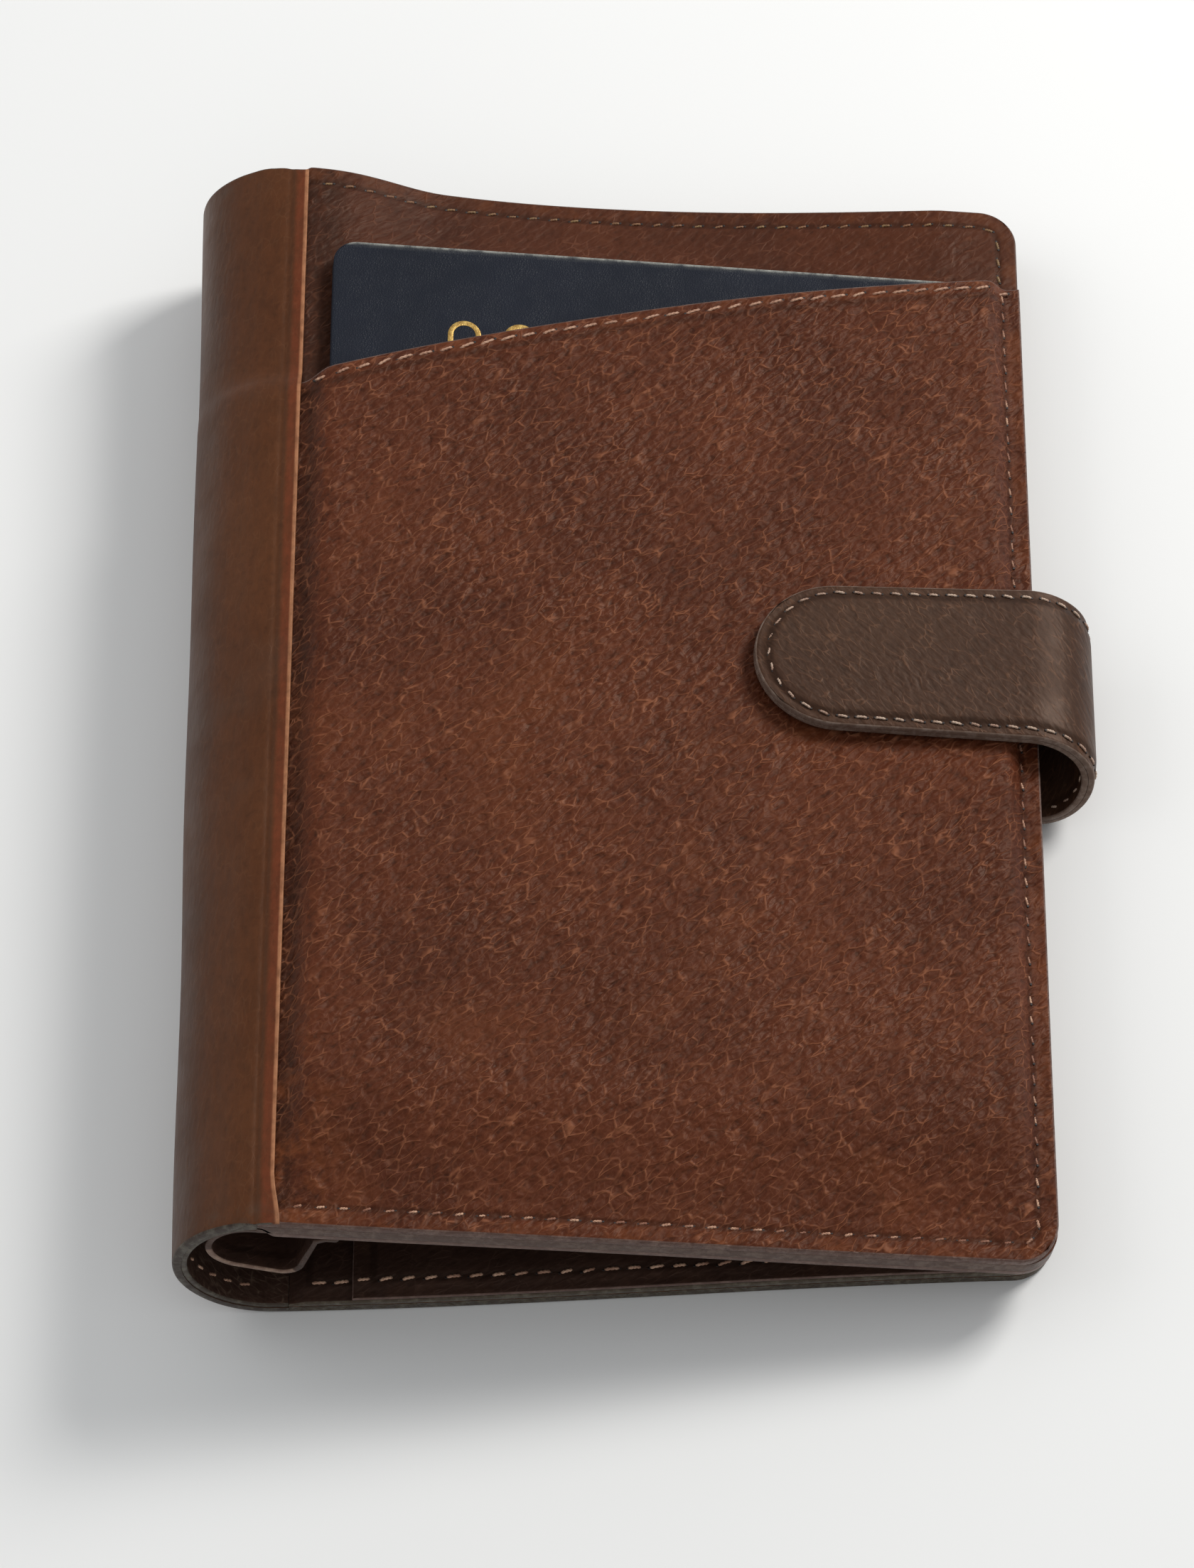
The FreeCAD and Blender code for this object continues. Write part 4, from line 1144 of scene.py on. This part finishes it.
def build_strap():
    """The strap's two leathers, stiffener and stitches. The magnet stays as it is, inside."""
    fine = RIM_LINES[::-1][1:]
    us = np.concatenate([[0.0], np.linspace(1.2, STRAP_LENGTH - 5.2, 84), STRAP_LENGTH - fine,
                         [STRAP_LENGTH]])
    vs = np.concatenate([[-STRAP_HALF], fine[::-1] - STRAP_HALF,
                         np.linspace(5.0 - STRAP_HALF, STRAP_HALF - 5.0, 12), STRAP_HALF - fine,
                         [STRAP_HALF]])

    def outer_top(u, v):
        return 0.10 - 0.30 * strap_press(u, v) - 0.13 * bell(strap_rim(u, v), STRAP_INSET, 0.38)

    def rim(u, v):
        return strap_rim(u, v) + 0.9

    outer = layer("strap_outer_leather", plan(us, vs, STRAP_TIP), outer_top,
                  lambda u, v: -STRAP_OUTER - 0.14 * strap_press(u, v),
                  strap_form, STRAP_LEATHER, (0.28, 0.03), rim)
    inner = layer("strap_inner_leather", plan(us[us > BEND_START - 1.4], vs, STRAP_TIP),
                  lambda u, v: -STRAP_OUTER - STRAP_CORE + 0.42 * strap_press(u, v),
                  lambda u, v: -STRAP_THICK + 0.14 * strap_press(u, v),
                  strap_form, STRAP_LEATHER, (0.03, 0.22), rim)
    inset = 2.2
    core_half = STRAP_HALF - inset
    core_grid = plan(np.linspace(BEND_START, STRAP_LENGTH - inset, 60),
                     np.linspace(-core_half, core_half, 16),
                     {corner: core_half for corner in STRAP_TIP})
    core = layer("strap_stiffener", core_grid, -STRAP_OUTER - 0.05,
                 -STRAP_OUTER - STRAP_CORE + 0.05, strap_form, BOARD_MATERIAL, 0.1)
    thread = (1.6, 0.15)
    row = stitches("strap_outer_stitches", strap_row(BEND_START - 3.0), -0.10, strap_form,
                   THREAD_STRAP, 14, thread, 0.02)
    under = stitches("strap_inner_stitches", strap_row(BEND_START + 1.0), -STRAP_THICK + 0.20,
                     strap_form, THREAD_STRAP, 15, thread, face=-1.0)
    pieces = ((outer, "strap_leather", "strap_leather"), (inner, "strap_lining", "strap_leather"),
              (core, "strap_core", "board"), (row, "strap_thread", "thread"),
              (under, None, "thread"))
    for piece, node, slot in pieces:
        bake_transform(piece)
        if node:
            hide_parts(node)


# ---------------------------------------------------------------- the booklet

def build_booklet():
    """The booklet's cover, its leaves and a plain gold ornament."""
    low_v, high_v = BOOK_LOW[1], BOOK_HIGH[1]
    right = BOOK_U + BOOK_WIDTH
    low, top, r = BOOK_BASE, BOOK_BASE + BOOK_THICK, BOOK_THICK / 2
    length, wrap = path([
        [(BOOK_U, top)], arc(right - r, low + r, r, 90, -90, 20), [(BOOK_U, low)]])

    def cover_form(u, v, w):
        a, b = wrap(u, w)
        return book_form(a, v, b)

    def cover_rim(u, v):
        return np.minimum(np.minimum(u, length - u), np.minimum(v - low_v, high_v - v))

    def cover_wear(u, v):
        return 1 - smooth((high_v - v - 0.1) / 0.5) * smooth((u + v - low_v) / 2.0)

    span = length / 2
    fine = np.array([0, 0.5, 1.0, 1.6, 2.3])
    us = np.concatenate([fine, np.linspace(3.2, span - 4, 40),
                         np.linspace(span - 3.6, span + 3.6, 22),
                         np.linspace(span + 4, length - 3.2, 40), length - fine[::-1]])
    vs = np.concatenate([low_v + fine, np.linspace(low_v + 3.2, high_v - 3.2, 70),
                         high_v - fine[::-1]])
    cover = layer("booklet_cover", plan(us, vs, {corner: BOOK_CORNER for corner in ALL_CORNERS}),
                  0.0, -BOOK_BOARD, cover_form, BOOK_CLOTH, 0.16, cover_rim, cover_wear)
    inset = 0.35
    page_grid = plan(np.linspace(BOOK_U + inset, right - BOOK_BOARD - 0.15, 24),
                     np.linspace(low_v + inset, high_v - inset, 32),
                     {(0, 0): BOOK_CORNER, (0, 1): BOOK_CORNER})
    pages = layer("booklet_pages", page_grid, top - BOOK_BOARD - 0.02, low + BOOK_BOARD + 0.02,
                  book_form, PAGE_MATERIAL, 0.06)
    ornament = build_ornament(top)
    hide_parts("passport_cover")
    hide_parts("passport_pages")
    for piece in (cover, pages, ornament):
        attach(piece, "passport")


def build_ornament(face):
    """A row of small plain gold arches."""
    half, stroke, legs = 1.85, 0.36, 2.4
    top_v, first, pitch, count = 53.8, BOOK_U + 17.6, 7.4, 7
    length, arch = path([[(-half, 0.0)], arc(0.0, legs, half, 180, 0, 16), [(half, 0.0)]])
    grid = plan(np.linspace(0, length, 26), np.array([-stroke, 0.0, stroke]))
    arches = []
    for k in range(count):
        def place(u, v, w, k=k):
            a, b = arch(u, v)
            return book_form(first + k * pitch + a, top_v - legs - half - stroke + b, w)

        arches.append(layer("booklet_ornament", grid, face + 0.04, face - 0.03, place,
                            GOLD_MATERIAL, 0.02))
    with bpy.context.temp_override(active_object=arches[0], object=arches[0],
                                   selected_objects=arches, selected_editable_objects=arches):
        bpy.ops.object.join()
    return arches[0]


# ---------------------------------------------------------------- setting

def shade_inner_nodes():
    """A steel finish for the two CAD pieces that stay as they are, sealed in the leather."""
    for node in ("closure_plate", "strap_magnet"):
        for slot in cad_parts[node].material_slots:
            slot.material = STEEL_MATERIAL


def build_stage():
    """A plain pale floor."""
    mesh = bpy.data.meshes.new("floor")
    size, drop = 4.0, -0.0001
    mesh.from_pydata([(-size, -size, drop), (size, -size, drop), (size, size, drop),
                      (-size, size, drop)], [], [(0, 1, 2, 3)])
    s = Shader("pale_floor")
    s.finish(Base_Color=(0.9, 0.9, 0.89, 1.0), Roughness=0.7)
    mesh.materials.append(s.material)
    floor = bpy.data.objects.new("floor", mesh)
    bpy.context.scene.collection.objects.link(floor)


def add_light(name, place, size, power, tint=(1, 1, 1)):
    """A soft square light aimed at the holder."""
    toward = Vector((0.0, 0.0, 0.01)) - Vector(place)
    data = bpy.data.lights.new(name, "AREA")
    data.size = size
    data.energy = power
    data.color = tint
    item = bpy.data.objects.new(name, data)
    item.location = place
    item.rotation_euler = toward.to_track_quat("-Z", "Y").to_euler()
    bpy.context.scene.collection.objects.link(item)


def build_lights():
    add_light("key", (0.62, 0.46, 0.64), 0.34, 7.4, tint=(1.0, 0.985, 0.96))
    add_light("fill", (-0.8, 0.1, 0.5), 0.8, 2.0)
    world = bpy.data.worlds.new("studio")
    world.use_nodes = True
    sky = world.node_tree.nodes["Background"].inputs
    sky["Color"].default_value = (0.96, 0.98, 1.0, 1.0)
    sky["Strength"].default_value = 0.46
    bpy.context.scene.world = world
    bpy.context.scene.view_settings.view_transform = "Standard"


def build_camera():
    """The camera: azimuth and elevation about the holder, then a small roll."""
    azimuth, elevation, roll = (math.radians(a) for a in (4.73, 59.64, -5.34))
    target = Vector(((SEAM + 38.48) * MM, -8.77 * MM, 8.0 * MM))
    distance = 0.7434
    turn = (Matrix.Rotation(azimuth, 4, "Z") @ Matrix.Rotation(math.pi / 2 - elevation, 4, "X")
            @ Matrix.Rotation(roll, 4, "Z"))
    data = bpy.data.cameras.new("camera")
    data.sensor_width, data.lens = 36.0, 132.0924
    data.clip_start, data.clip_end = 0.05, 20.0
    camera = bpy.data.objects.new("camera", data)
    camera.matrix_world = (Matrix.Translation(target) @ turn
                           @ Matrix.Translation((0.0, 0.0, distance)))
    bpy.context.scene.collection.objects.link(camera)
    bpy.context.scene.camera = camera


build_front()
build_pocket()
build_front_stitches()
for slot_number in (1, 2, 3):
    build_card_slot(slot_number)
build_back()
build_back_stitches()
build_spine()
build_pen_loop()
build_strap()
build_booklet()
shade_inner_nodes()
build_stage()
build_lights()
build_camera()
